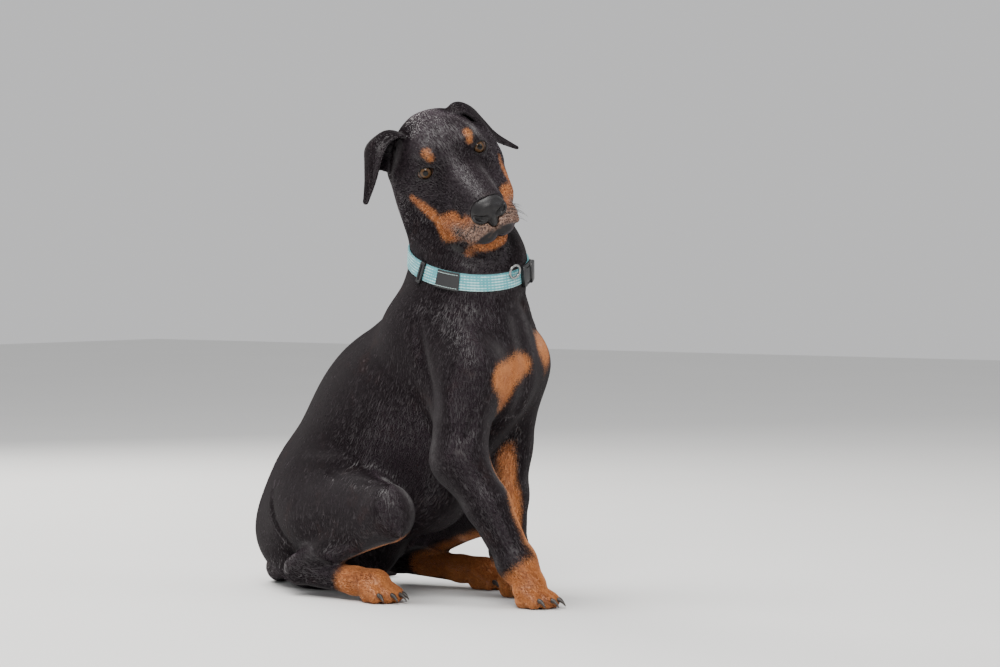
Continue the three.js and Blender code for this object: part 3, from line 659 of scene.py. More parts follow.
def mesh_object(name, points, faces, smooth=True):
    """A mesh from points in millimetres in the dog's frame, and faces given as lists of point numbers."""
    mesh = bpy.data.meshes.new(name)
    if isinstance(faces, np.ndarray):
        corners = faces.shape[1]
        mesh.vertices.add(len(points))
        mesh.vertices.foreach_set("co", placed(points).astype(np.float32).ravel())
        mesh.loops.add(faces.size)
        mesh.loops.foreach_set("vertex_index", faces.astype(np.int32).ravel())
        mesh.polygons.add(len(faces))
        mesh.polygons.foreach_set("loop_start", np.arange(0, faces.size, corners, dtype=np.int32))
        mesh.update(calc_edges=True)
    else:
        mesh.from_pydata(placed(points).tolist(), [], faces)
    mesh.polygons.foreach_set("use_smooth", np.full(len(mesh.polygons), smooth))
    return linked(name, mesh)


def attribute(obj, name, values):
    """A number for each vertex, which a material reads by name."""
    made = obj.data.attributes.new(name, "FLOAT", "POINT")
    made.data.foreach_set("value", np.asarray(values, np.float32))


# Markings: how far each point lies inside the rust, as shapes that the coat's colour follows

def inner_stripe(limb, a, b, side, radius, inward):
    """A rust stripe down the inner side of a leg, and round to its front."""
    push = vec(-side * inward * 0.75, -inward * 0.66, 0)
    return Cone(limb[a] + push, limb[b] + push, radius, radius), 6


rust_face = [
    (Cone((22.5, -51, 25.5), (21, -55.5, 20.5), 4.2, 3.0), 1),
    (Cone((36, -84, -41), (20, -124, -42), 14.5, 13), 1),
    (ball((30, -92, -35), 12), 4),
    (ball((20, -116, -30), 9), 6),
    (Cone((16, -128, -36), (0, -130, -36), 11, 9), 4),
    (Cone((41, -72, -30), (50, -42, -16), 6.0, 3.2), 4),
    (Cone((0, -122, -62), (28, -102, -65), 7.5, 5), 3),
]
rust_body = [
    (Cone((-36, -138, 222), (-4, -136, 236), 15, 12), 1),
    (Cone((-28, -134, 212), (-24, -124, 186), 12, 4), 5),
    (Egg((44, -124, 252), (13, 18, 17)), 1),
    (Cone((42, -122, 238), (38, -116, 220), 8, 3), 5),
    (Egg((0, 200, 40), (11, 12, 18)), 4),
]
for name, side in (("right", -1), ("left", 1)):
    limb = FORELEGS[name]
    rust_body += [
        inner_stripe(limb, "elbow", "middle", side, 9, 24),
        inner_stripe(limb, "middle", "wrist", side, 13, 18),
        (Cone(limb["wrist"], limb["knuckle"], 15, 30), 4),
        (ball(vec(*limb["knuckle"]) + [0, -16, -8], 34), 6),
    ]
    limb = HINDLEGS[name]
    knee = limb["knee"] + vec(-side * 14, -12, -34)
    hock = limb["hock"] + vec(-side * 14, -40, -8)
    rust_body += [
        (ball(vec(*limb["knuckle"]) + [0, -14, -8], 34), 6),
        (Cone(limb["instep"], limb["knuckle"], 20, 26), 6),
        (Cone(knee, hock, 17, 16), 6),
    ]


grey_muzzle = [
    (Cone((18, -124, -40), (29, -99, -45), 11, 10), 1),
    (Cone((0, -131, -36), (16, -129, -36), 8, 11), 5),
]
FACE_BORDER, BODY_BORDER = 9.0, 15.0


def rust_of(points):
    """1 inside the rust markings and 0 outside, with a soft border that is narrower on the face."""
    on_face = 0.5 - build_up(rust_face, half_head(points)) / FACE_BORDER
    on_body = 0.5 - build_up(rust_body, points) / BODY_BORDER
    return np.clip(np.maximum(on_face, on_body), 0, 1)


def grey_of(points):
    """1 on the pale speckled skin round the nose and lips, fading over the muzzle."""
    return np.clip(0.5 - build_up(grey_muzzle, half_head(points)) / FACE_BORDER, 0, 1)


LOWER_LIP = Cone((0, -129, -48), (18, -124, -52.5), 6, 5)
LID_RIM = 3.2
EYE_REACH = 18.0


def by_mouth(q, width):
    """How near points in the head's frame lie to the line of the mouth: 1 on it, fading over a width."""
    return -Stroke(MOUTH_HALF, 1, width, fade=False)(q)


def near_eye(q):
    """Whether points in the head's frame lie by the lids and not behind them."""
    q = q - EYE_CENTRE
    return (np.linalg.norm(q, axis=1) < EYE_REACH) & (q @ LID_AIM > 0)


def dark_of(points):
    """1 on the bare black skin of the lips and lid rims."""
    q = half_head(points)
    lips = by_mouth(q, 3.6) * 1.6
    lower_lip = 0.5 - LOWER_LIP(q) / 1.6
    rim = np.where(near_eye(q), (LID_RIM - lid_opening(q - EYE_CENTRE)) / 1.8, 0)
    return np.clip(np.maximum(np.maximum(lips, lower_lip), rim), 0, 1)


# Nodes and materials

def add_node(tree, kind, settings=None, values=()):
    """A new node with its properties set, and its inputs linked or given values."""
    made = tree.nodes.new(kind)
    for name, value in (settings or {}).items():
        setattr(made, name, value)
    for key, value in values.items() if isinstance(values, dict) else enumerate(values):
        feed(tree, made.inputs[key], value)
    return made


def feed(tree, socket, value):
    if isinstance(value, Socket):
        value = value.link
    if isinstance(value, bpy.types.NodeSocket):
        tree.links.new(value, socket)
    else:
        socket.default_value = value


class Socket:
    """A shader socket that takes part in arithmetic: each expression adds its Math node."""

    def __init__(self, material, link):
        self.material, self.link = material, link

    def _math(self, operation, *values):
        return self.material.node("ShaderNodeMath", dict(operation=operation), values)

    def __add__(self, other):
        return self._math("ADD", self, other)

    def __sub__(self, other):
        return self._math("SUBTRACT", self, other)

    def __mul__(self, other):
        return self._math("MULTIPLY", self, other)

    def sine(self):
        return self._math("SINE", self)

    __radd__ = __add__
    __rmul__ = __mul__

    def clamp(self, low, high):
        """Goes smoothly from 0 to 1 as the socket goes from low to high."""
        settings = dict(interpolation_type="SMOOTHSTEP")
        return self.material.node("ShaderNodeMapRange", settings, {0: self, 1: low, 2: high}, "Result")


class Material:
    """A Principled material whose nodes are all made by one method."""

    def __init__(self, name, **fixed):
        self.data = bpy.data.materials.new(name)
        self.data.use_nodes = True
        self.tree = self.data.node_tree
        self.shader = self.tree.nodes["Principled BSDF"]
        self.set(**fixed)
        self.place = self.node("ShaderNodeTexCoord", output="Object")

    def node(self, kind, settings=None, values=(), output=0):
        return Socket(self, add_node(self.tree, kind, settings, values).outputs[output])

    def set(self, **inputs):
        for name, value in inputs.items():
            feed(self.tree, self.shader.inputs[name.replace("_", " ")], value)

    def noise(self, scale, detail=2.0, rough=0.5):
        values = {"Vector": self.place, "Scale": scale, "Detail": detail, "Roughness": rough}
        return self.node("ShaderNodeTexNoise", {}, values, "Fac")

    def cells(self, scale):
        return self.node("ShaderNodeTexVoronoi", {}, {"Vector": self.place, "Scale": scale}, "Distance")

    def mix(self, factor, a, b):
        settings = dict(data_type="RGBA")
        color = [c if isinstance(c, Socket) else (*c, 1) for c in (a, b)]
        return self.node("ShaderNodeMix", settings, {0: factor, 6: color[0], 7: color[1]}, 2)

    def value_of(self, name):
        return self.node("ShaderNodeAttribute", dict(attribute_name=name), output="Fac")

    def bump(self, height, strength, distance):
        values = {"Height": height, "Strength": strength, "Distance": distance}
        self.set(Normal=self.node("ShaderNodeBump", {}, values, "Normal"))


def mottled(name, scale, low, high, rough, uneven=0, bump=None, detail=2, **fixed):
    """A plain material whose colour, roughness and bump follow one noise."""
    made = Material(name, **fixed)
    grain = made.noise(scale, detail)
    made.set(Base_Color=made.mix(grain, low, high), Roughness=rough + grain * uneven if uneven else rough)
    if bump:
        made.bump(grain, *bump)
    return made.data


BLACK_HAIR = (0.0085, 0.0060, 0.0072)
BLACK_SHEEN = (0.0220, 0.0145, 0.0185)
MAROON_HAIR = (0.030, 0.013, 0.012)
RUST_HAIR = (0.47, 0.185, 0.060)
RUST_DEEP = (0.27, 0.088, 0.026)
GREY_HAIR = (0.28, 0.19, 0.15)
GREY_SPECK = (0.055, 0.038, 0.034)
DARK_SKIN = (0.005, 0.004, 0.0045)


def coat_material():
    """The short coat: black with a cool sheen, and rust markings with speckled borders."""
    sheen = dict(Sheen_Weight=0.13, Sheen_Roughness=0.4, Sheen_Tint=(0.80, 0.58, 0.74, 1))
    coat = Material("short coat", Specular_IOR_Level=0.38, **sheen)
    fine = coat.noise(900, 3, 0.7)
    broad = coat.noise(38, 3, 0.6)
    mask = (coat.value_of("rust") + (broad - 0.5) * 0.4 + (fine - 0.5) * 1.1).clamp(0.22, 0.82)
    black = coat.mix(fine.clamp(0.35, 0.75), BLACK_HAIR, BLACK_SHEEN)
    black = coat.mix(broad.clamp(0.55, 0.85) * 0.5, black, MAROON_HAIR)
    rust = coat.mix((fine * 0.6 + broad * 0.4).clamp(0.35, 0.62), RUST_DEEP, RUST_HAIR)
    color = coat.mix(mask, black, rust)
    speckle = coat.noise(430, 2, 0.6).clamp(0.40, 0.50)
    color = coat.mix(coat.value_of("grey") * 0.9, color, coat.mix(speckle, GREY_SPECK, GREY_HAIR))
    color = coat.mix(coat.value_of("dark"), color, DARK_SKIN)
    coat.set(Base_Color=color, Roughness=0.40 + fine * 0.16 + coat.value_of("dark") * 0.25)
    coat.bump(coat.noise(1500, 2, 0.6), 0.22, 0.0004)
    return coat.data


coat = coat_material()


def piece(obj, material, slot, *stands_for):
    """Gives a piece its material, lets it ride on the body, and hides the nodes it stands for. Its slot is
    not used.
    """
    if material:
        obj.data.materials.append(material)
    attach(obj, "root")
    if stands_for:
        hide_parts(*stands_for)
    return obj


def outward(obj):
    """Turns the faces of a closed mesh to face out."""
    made = bmesh.new()
    made.from_mesh(obj.data)
    bmesh.ops.recalc_face_normals(made, faces=made.faces)
    made.to_mesh(obj.data)
    made.free()


def closed_piece(name, mesh, material, slot, *stands_for):
    """A piece from a closed mesh, given as its points and faces."""
    obj = mesh_object(name, *mesh)
    outward(obj)
    return piece(obj, material, slot, *stands_for)


def mark(obj, points):
    """Puts the markings at some points onto the vertices of a piece."""
    for name, values in (("rust", rust_of(points)), ("grey", grey_of(points)), ("dark", dark_of(points))):
        attribute(obj, name, np.repeat(values, len(obj.data.vertices) // len(points)))


# The skin

skin_points, quads = skin_net()
skin = mesh_object("dog_skin", skin_points, quads)
mark(skin, skin_points)
FLESH = ["head", "neck", "torso", "tail"] + [
    part + "_" + side
    for part in ("ear", "foreleg", "forepaw", "hindleg", "hindpaw")
    for side in ("left", "right")
]
piece(skin, coat, "coat", *FLESH)


# The coat: short tufts that lie along the body, each a thin spike of four faces

def head_points(*points):
    return [from_head(vec(*p)) for p in points]


def limb_bones(region, limb, names, lengths):
    joints = [vec(*limb[n]) for n in names]
    return [(region, a, b, length) for a, b, length in zip(joints, joints[1:], lengths)]


# Bones that the coat's regions and lie follow: region, start, end and the length of the tufts there
bones = [
    ("face", *head_points((0, -132, -32), (0, -66, -20)), 2.0),
    ("face", *head_points((0, -66, -10), (0, -34, 6)), 2.6),
    ("crown", *head_points((0, -34, 10), (0, 36, 0)), 3.2),
    ("crown", *head_points((24, -50, -40), (30, 0, -40)), 3.0),
    ("crown", *head_points((-24, -50, -40), (-30, 0, -40)), 3.0),
    ("neck", vec(-9, -37, 396), vec(0, -58, 286), 4.2),
    ("chest", vec(0, -66, 270), vec(0, -50, 170), 4.8),
    ("chest", vec(0, -50, 170), vec(0, -4, 110), 4.6),
    ("side", vec(0, -20, 262), vec(0, 30, 180), 5.0),
    ("loin", vec(0, 30, 180), vec(0, 110, 100), 5.0),
    ("rump", vec(0, 110, 100), vec(0, 170, 50), 5.0),
]
for side in ("right", "left"):
    for limb, leg, names, lengths, drop in (
        (FORELEGS[side], "_foreleg", "shoulder elbow middle wrist knuckle", (4.6, 3.8, 3.2, 2.4), 12),
        (HINDLEGS[side], "_hindleg", "hip knee hock instep knuckle", (5.0, 4.0, 3.0, 2.4), 10),
    ):
        bones += limb_bones(side + leg, limb, names.split(), lengths)
        toes = vec(*limb["knuckle"]) + unit(limb["aim"]) * 24 - [0, 0, drop]
        bones.append((side + leg, vec(*limb["knuckle"]), toes, 1.8))
    flip = -1 if side == "right" else 1
    rows = [np.mean(row, axis=0) * [flip, 1, 1] for row in EARS[side]]
    for a, b in zip(rows, rows[1:]):
        bones.append(("crown", from_head(a), from_head(b), 2.2))
for a, b in zip(tail_line[::5], tail_line[5::5]):
    bones.append(("tail", a, b, 4.0))

# Places where the coat lies another way than the bone under it: a point and a direction. Those of the
# second group and of the head lie on the left and, mirrored, on the right as well.
LIE = (
    ((0, -30, 292), (0, 0.6, -0.8)), ((0, 90, 200), (0, 0.8, -0.7)), ((0, -136, 226), (0, 0.15, -1)),
    ((0, -118, 330), (0, -0.1, -1)), ((0, 0, 320), (0, 0.5, -0.9)), ((0, -20, 86), (0, 0.9, -0.2)),
    ((0, -90, 150), (0, 0.5, -0.8)), ((0, 196, 70), (0, 0.5, -1)), ((-52, -82, 352), (0, 0.35, -1)),
    ((-30, -104, 350), (0, 0.1, -1)), ((0, -108, 350), (0, -0.05, -1)), ((50, -72, 360), (0.1, 0.35, -1)),
    ((-58, -40, 376), (-0.1, 0.5, -1)), ((-52, -60, 366), (-0.1, 0.4, -1)),
    ((30, -96, 356), (0.1, 0.1, -1)), ((-60, -60, 340), (-0.1, 0.3, -1)),
)
SIDE_LIE = (
    ((76, -10, 220), (0.1, 0.35, -1)), ((70, 50, 160), (0, 0.6, -0.8)), ((30, -126, 280), (0, -0.2, -1)),
    ((62, -60, 320), (0.1, 0.1, -1)), ((84, 20, 130), (0.2, 0.3, -1)), ((100, 40, 80), (0.1, 0.2, -1)),
    ((60, 150, 90), (0.2, 0.4, -1)),
)
HEAD_LIE = (
    ((0, -96, -2), (0, 1, 0.12)), ((0, -60, 12), (0, 1, 0.5)), ((0, -30, 40), (0, 1, 0.3)),
    ((0, 10, 44), (0, 1, -0.2)), ((0, 52, 0), (0, 0.4, -1)), ((36, -56, -20), (0.3, 1, -0.3)),
    ((52, -10, -14), (0.1, 1, -0.6)), ((30, -100, -40), (0.25, 1, -0.45)), ((0, -110, -78), (0, 1, -0.1)),
    ((14, -132, -40), (0.6, 0.5, -0.8)), ((30, -60, -66), (0.1, 1, -0.4)), ((20, -50, 24), (0.2, 1, 0.6)),
    ((40, -40, 10), (0.5, 1, 0)),
)


def lie_field():
    """All the places and directions that the coat's lie is blended from."""
    found = [((a + b) / 2, b - a) for _, a, b, _ in bones] + list(LIE)
    for mirror in vec(1, 1, 1), vec(-1, 1, 1):
        found += [(place * mirror, way * mirror) for place, way in SIDE_LIE]
        found += [(from_head(place * mirror), head_way(way * mirror)) for place, way in HEAD_LIE]
    return np.array([vec(*place) for place, _ in found]), np.array([unit(way) for _, way in found])


def nearest_bone(points):
    """The number of the nearest bone of each point."""
    best = np.full(len(points), 1e9)
    found = np.zeros(len(points), int)
    for i, (_, a, b, _) in enumerate(bones):
        d = np.linalg.norm(from_line(points, a, b)[0], axis=1)
        found = np.where(d < best, i, found)
        best = np.minimum(best, d)
    return found


TUFT_COUNT = 362000
# A tuft's half width for its length, the most that it may be, and the height of a long tuft's tip
TUFT_WIDTH, TUFT_HALF_MOST, TUFT_LIFT = 0.07, 0.32, 0.42
# How far a tuft's upper root stands out, its lower root sinks in, and that lies back for its length
ROOT_OUT, ROOT_SUNK, ROOT_BACK = 0.12, 0.5, 0.18
# The lie's blur, and how much single tufts turn and roll
LIE_BLUR, TUFT_TURN, TUFT_ROLL = 260, 0.075, 0.035
LONG, LIFTED = (0.75, 1.15), (0.6, 1.0)
FLOOR_CLEAR = 0.3
PATCH = 0.0030
# Regions whose coat is one piece on each side
SPLIT_REGIONS = ("side", "loin", "rump", "neck", "chest", "crown")


def tuft_roots(rng):
    """Roots spread over the skin, closer where the tufts are shorter, with the skin's normals there."""
    corners = skin_points[quads]
    normal = np.zeros_like(skin_points)
    face_normal = np.cross(corners[:, 2] - corners[:, 0], corners[:, 3] - corners[:, 1]) / 2
    for k in range(4):
        np.add.at(normal, quads[:, k], face_normal)
    normal = unit(normal)
    middle = corners.mean(axis=1)
    bone = nearest_bone(middle)
    length = np.array([b[3] for b in bones])[bone]
    weight = np.linalg.norm(face_normal, axis=1) / length**1.15
    weight *= (middle[:, 2] > 1.2) | (face_normal[:, 2] > 0)
    pick = rng.choice(len(quads), TUFT_COUNT, p=weight / weight.sum())
    s, t = rng.random((2, TUFT_COUNT, 1))
    share = [(1 - s) * (1 - t), s * (1 - t), s * t, (1 - s) * t]
    root = sum(w * corners[pick, k] for k, w in enumerate(share))
    out = unit(sum(w * normal[quads[pick, k]] for k, w in enumerate(share)))
    return root, out, bone[pick]


def bare(root):
    """Where no tufts grow: nose, lips, lid rims, soles, and under the collar's band."""
    q = half_head(root)
    eye = near_eye(q) & (lid_opening(q - EYE_CENTRE) < 1.4)
    on_nose = nose_field(q) < 0.7
    lips = (by_mouth(q, 3.2) > 0.35) | (LOWER_LIP(q) < -1)
    from_band = root - BAND_CENTRE
    under_band = np.abs(from_band @ BAND_UP) < BAND_HEIGHT / 2 + BAND_CLEAR
    under_band &= np.linalg.norm(from_band, axis=1) < BAND_REACH
    return eye | on_nose | lips | under_band | (root[:, 2] < 1.0)


def unwrap(points, region):
    """A region's points unrolled round the line through it, between 0 and 1 both ways."""
    own = [(a, b) for name, a, b, _ in bones if name == region]
    start, end = own[0][0], own[-1][1]
    axis = unit(end - start)
    side = unit(np.cross(axis, (0.3, 0.2, 0.9) if abs(axis[2]) < 0.8 else (1, 0.2, 0)))
    q = points - start
    turn = np.arctan2(q @ np.cross(axis, side), q @ side) / math.tau + 0.5
    rise = q @ axis
    rise = (rise - rise.min()) / max(np.ptp(rise), 1e-6)
    return np.stack([0.01 + 0.98 * turn, 0.01 + 0.98 * rise], axis=1)


def make_coat():
    rng = np.random.default_rng(RANDOM_SEED)
    root, out, bone = tuft_roots(rng)
    keep = ~bare(root)
    root, out, bone = root[keep], out[keep], bone[keep]
    count = len(root)
    lie = np.zeros_like(root)
    for place, way in zip(*lie_field()):
        lie += way / (dot(root - place, root - place)[:, None] + LIE_BLUR) ** 2
    lie = unit(lie - dot(lie, out)[:, None] * out)
    lie = unit(lie + np.cross(out, lie) * rng.normal(0, TUFT_TURN, (count, 1)))
    roll = rng.normal(0, TUFT_ROLL, (count, 1))
    across = unit(np.cross(out, lie) + out * roll)
    length = np.array([b[3] for b in bones])[bone] * rng.uniform(*LONG, count)
    q = half_head(root)
    length *= np.where(near_eye(q), np.clip(0.35 + lid_opening(q - EYE_CENTRE) / 8, 0.35, 1), 1)
    tip = root + lie * length[:, None]
    lift = TUFT_LIFT * rng.uniform(*LIFTED, count) * np.clip(length / 4, 0.55, 1)
    tip += unit(slope(flesh, tip)) * np.clip(lift - flesh(tip), -3, 3)[:, None]
    tip[:, 2] = np.maximum(tip[:, 2], FLOOR_CLEAR)
    half = np.minimum(length * TUFT_WIDTH, TUFT_HALF_MOST)[:, None] * across
    upper = root + out * ROOT_OUT
    sunk = root - out * ROOT_SUNK - lie * length[:, None] * ROOT_BACK
    corners = np.stack([upper - half, upper + half, sunk, tip], axis=1)
    region_of = np.array([b[0] for b in bones])[bone]
    on_right = np.where(region_of == "crown", to_head(root)[:, 0] < 0, root[:, 0] < 0)
    for region in sorted(set(region_of)):
        halves = (("_right", on_right), ("_left", ~on_right)) if region in SPLIT_REGIONS else (("", True),)
        for name, there in halves:
            this = (region_of == region) & there
            coat_piece(region + name, region, corners[this], root[this])


SPIKE = np.array([(0, 1, 3), (1, 2, 3), (2, 0, 3), (0, 2, 1)])
SPIKE_PATCH = np.array([(-0.5, -0.5), (0.5, -0.5), (0.0, -0.2), (0.0, 0.5)]) * PATCH


def coat_piece(name, region, corners, roots):
    """One piece of the coat from its spikes' corners, with a small patch of the unwrap for each spike."""
    count = len(corners)
    faces = (SPIKE[None] + 4 * np.arange(count)[:, None, None]).reshape(-1, 3)
    obj = mesh_object("coat_" + name, corners.reshape(-1, 3), faces, smooth=False)
    mark(obj, roots)
    spot = unwrap(roots, region)
    uv = spot[:, None, None] + SPIKE_PATCH[SPIKE][None]
    obj.data.uv_layers.new(name="OFBake").data.foreach_set("uv", uv.astype(np.float32).ravel())
    piece(obj, coat, "coat")


# Nose leather

NOSE_BOX = ((-24, -142, -46), (24, -100, -2))
NOSE_CELL = 0.8


def fine_net(field, low, high, cell):
    """The quads of a field's skin on an even grid."""
    sizes = [int((b - a) / cell) + 1 for a, b in zip(low, high)]
    axes = [a + cell * np.arange(n) for a, n in zip(low, sizes)]
    points = np.stack(np.meshgrid(*axes, indexing="ij"), axis=-1)
    grid = openvdb.FloatGrid(FAR)
    grid.copyFromArray(field(points.reshape(-1, 3)).reshape(sizes).astype(np.float32))
    spots, quads = grid.convertToQuads(0.0)
    return onto(field, vec(*low) + spots * cell, cell / 2), quads[:, ::-1]


def make_nose():
    spots, quads = fine_net(lambda q: nose_field(folded(q)), *NOSE_BOX, NOSE_CELL)
    nose = mesh_object("nose_leather", from_head(spots), quads)
    leather = Material("nose leather", Specular_IOR_Level=0.26, Coat_Weight=0.10, Coat_Roughness=0.3)
    pebble = leather.cells(900)
    fine = leather.noise(300, 3)
    leather.set(Base_Color=leather.mix(fine, (0.0045, 0.004, 0.0045), (0.012, 0.0105, 0.0115)))
    leather.set(Roughness=0.34 + fine * 0.22)
    leather.bump(pebble * 0.8 + fine * 0.4, 0.4, 0.0004)
    piece(nose, leather.data, "nose_leather", "nose")


# Eyes: a ball with a bulging cornea, turned to the camera, coloured by the angle from its axis

EYE_GAZES = {"right": unit(vec(-0.33, -0.95, 0.22)), "left": unit(vec(0.17, -0.96, 0.26))}
CORNEA = 0.8


def make_eyes():
    eye = Material("amber eye", Specular_IOR_Level=0.0, Roughness=0.4, Coat_Weight=0.5, Coat_Roughness=0.03)
    angle = eye.value_of("angle") + (eye.noise(900, 2) - 0.5) * 1.2
    streaks = eye.noise(1500)
    amber = eye.mix(streaks.clamp(0.3, 0.7), (0.042, 0.022, 0.010), (0.098, 0.052, 0.023))
    color = eye.mix(angle.clamp(14, 16.5), (0.0015, 0.0012, 0.0012), amber)
    color = eye.mix(angle.clamp(27, 34), color, (0.010, 0.006, 0.004))
    color = eye.mix(angle.clamp(38, 44), color, (0.075, 0.045, 0.035))
    eye.set(Base_Color=color)
    turns, rings = 64, 56
    theta = np.linspace(0, math.pi, rings) ** 1.25 / math.pi**0.25
    for name, flip in (("right", -1), ("left", 1)):
        gaze = EYE_GAZES[name]
        side = unit(np.cross(gaze, (0, 0, 1)))
        ring = ring_of(turns, side, np.cross(side, gaze))
        radius = EYE_RADIUS + CORNEA * np.exp(-((np.degrees(theta) / 27) ** 2))
        facing = np.cos(theta)[:, None, None] * gaze + np.sin(theta)[:, None, None] * ring
        ball_points = radius[:, None, None] * facing
        points = ball_points[1:-1].reshape(-1, 3)
        points = np.vstack([points, ball_points[0, 0], ball_points[-1, 0]]) + EYE_CENTRE * [flip, 1, 1]
        faces, tips = tube_faces(rings - 2, turns)
        mesh = from_head(points), faces + tips
        obj = closed_piece("eyeball_" + name, mesh, eye.data, "eye", "eye_" + name)
        attribute(obj, "angle", np.append(np.repeat(np.degrees(theta[1:-1]), turns), [0, 180]))


def tube_faces(rings, sides):
    """The quads of a tube of rings, and the triangles that close it on a first and a last extra point."""
    i, j = np.meshgrid(np.arange(rings - 1), np.arange(sides), indexing="ij")
    k = (j + 1) % sides
    quads = np.stack([i * sides + j, i * sides + k, (i + 1) * sides + k, (i + 1) * sides + j], axis=-1)
    first, last = rings * sides, rings * sides + 1
    tips = [(first, (j + 1) % sides, j) for j in range(sides)]
    tips += [(last, (rings - 1) * sides + j, (rings - 1) * sides + (j + 1) % sides) for j in range(sides)]
    return quads.reshape(-1, 4).tolist(), tips


def loop_faces(rings, sides):
    """The quads of a tube whose last ring joins its first."""
    quads, _ = tube_faces(rings, sides)
    last = (rings - 1) * sides
    return quads + [(last + j, last + (j + 1) % sides, (j + 1) % sides, j) for j in range(sides)]


def ring_of(count, across, up):
    """Directions at even angles round a circle, from across towards up."""
    turn = np.arange(count)[:, None] * math.tau / count
    return np.cos(turn) * across + np.sin(turn) * up


def tube_along(line, radii, sides=8):
    """The points and faces of a tube of changing radius along a line of points."""
    line = np.asarray(line, float)
    ahead = unit(np.gradient(line, axis=0))
    side = unit(np.cross(ahead, (0.31, 0.87, 0.38)))
    ring = ring_of(sides, side[:, None], np.cross(ahead, side)[:, None])
    points = line[:, None] + ring * np.asarray(radii, float)[:, None, None]
    quads, tips = tube_faces(len(line), sides)
    return np.vstack([points.reshape(-1, 3), line[:1], line[-1:]]), quads + tips


def gathered(parts):
    """Several meshes, each points and faces, as one."""
    points, faces = [], []
    for some, their in parts:
        base = sum(len(p) for p in points)
        points.append(some)
        faces += [[base + i for i in face] for face in their]
    return np.vstack(points), faces


def make_claws():
    parts = []
    for limb in (*FORELEGS.values(), *HINDLEGS.values()):
        for _, _, root, point in toes_of(limb):
            t = np.linspace(0, 1, 9)
            line = root + (point - root) * t[:, None] + vec(0, 0, 1.6) * (np.sin(t * math.pi))[:, None]
            parts.append(tube_along(line, 2.5 - 2.0 * t**1.4, 12))
    colors = (0.012, 0.010, 0.009), (0.04, 0.03, 0.024)
    gloss = dict(Coat_Weight=0.2, Coat_Roughness=0.3)
    horn = mottled("dark claw", 400, *colors, 0.34, 0.15, (0.3, 0.0003), 3, **gloss)
    closed_piece("claws", gathered(parts), horn, "claw")


def make_whiskers(rng):
    """Whiskers on the muzzle, over the eyes and on the chin."""
    parts = []
    rows = [((14, -126, -32), 5, 15), ((16, -120, -37), 6, 19), ((17, -114, -42), 6, 18)]
    for (x, y, z), count, length in rows:
        for i in range(count):
            for flip in (-1, 1):
                base = vec(x + i * 2.0 + rng.normal(0, 0.4), y + i * 3.6, z - i * 0.4 + rng.normal(0, 0.6))
                way = unit(vec(0.8, -0.3 + 0.15 * i, -0.35) + rng.normal(0, 0.16, 3))
                parts.append((base, way, length * rng.uniform(0.6, 1.0), flip))
    for i in range(4):
        for flip in (-1, 1):
            parts.append((vec(20 + i * 2, -54, 28), unit(vec(0.3 + 0.1 * i, -0.6, 0.9)), 9 + 2 * i, flip))
            parts.append((vec(6 + 4 * i, -118 + 5 * i, -72), unit(vec(0.3, -0.4, -0.9)), 12, flip))
    meshes = []
    for base, way, length, flip in parts:
        base = onto(lambda p: build_up(skull, p) + COAT_DEPTH, base[None], 6, 6)[0]
        t = np.linspace(0, 1, 7)[:, None]
        line = base - way + way * t * length + vec(-0.1, 0.5, -0.5) * length * t**2
        line[:, 0] *= flip
        meshes.append(tube_along(from_head(line), 0.26 * (1 - 0.85 * t[:, 0]), 5))
    hair = mottled("black whisker", 500, (0.008, 0.007, 0.007), (0.035, 0.03, 0.028), 0.35)
    closed_piece("whiskers", gathered(meshes), hair, "whisker")


# The collar: its pieces lie on the same band as in the solids

BAND_CENTRE = vec(-2, -64, 333)
BAND_UP = unit(vec(-0.27, -0.25, 1))
BAND_HEIGHT = 15.4
BAND_PRESS = 0.9
BAND_OUT = 1.5
ON_BAND = 1.8
# No tufts grow this near to the band's edges, within its reach
BAND_CLEAR = 1.6
BAND_REACH = 78.0


def neck_radius(ahead, height):
    """How far the neck's skin lies from the band's axis in many directions."""
    inner, outer = np.full(len(ahead), 20.0), np.full(len(ahead), 90.0)
    for _ in range(18):
        middle = (inner + outer) / 2
        inside = build_up(body, BAND_CENTRE + BAND_UP * height + ahead * middle[:, None]) < 0
        inner, outer = np.where(inside, middle, inner), np.where(inside, outer, middle)
    return inner


def on_band(degrees, height, out):
    """Points at an angle from the left side, a height on the band and a distance out from the neck."""
    degrees, height, out = (np.asarray(v, float).ravel() for v in np.broadcast_arrays(degrees, height, out))
    angles, where = np.unique(degrees, return_inverse=True)
    flat = np.stack([np.cos(np.radians(angles)), np.sin(np.radians(angles)), 0 * angles], axis=1)
    ahead = unit(flat - (flat @ BAND_UP)[:, None] * BAND_UP)
    lower, upper = neck_radius(ahead, -BAND_HEIGHT / 2), neck_radius(ahead, BAND_HEIGHT / 2)
    radius = lower[where] + (upper - lower)[where] * (height / BAND_HEIGHT + 0.5)
    return BAND_CENTRE + BAND_UP * height[:, None] + ahead[where] * (radius + out)[:, None]


def rounded(height, inner, outer, bevel, steps=4):
    """The outline of a bar's section with rounded outer edges, as heights and distances out."""
    turn = np.linspace(math.pi / 2, 0, steps)
    low = np.stack([-height / 2 + bevel * (1 - np.sin(turn)), outer - bevel * (1 - np.cos(turn))], axis=1)
    return np.vstack([[(-height / 2, inner)], low, low[::-1] * [-1, 1], [(height / 2, inner)]])


def bar(start, end, section, steps):
    """A bar round the band between two angles, closed on itself after a whole turn."""
    whole = end - start >= 360
    degrees = np.linspace(start, end, steps + 1)[: steps if whole else None]
    points = on_band(degrees[:, None], section[None, :, 0], section[None, :, 1])
    sides = len(section)
    if whole:
        return points, loop_faces(len(degrees), sides)
    quads, tips = tube_faces(len(degrees), sides)
    rows = points.reshape(len(degrees), sides, 3)
    return np.vstack([points, rows[0].mean(axis=0), rows[-1].mean(axis=0)]), quads + tips


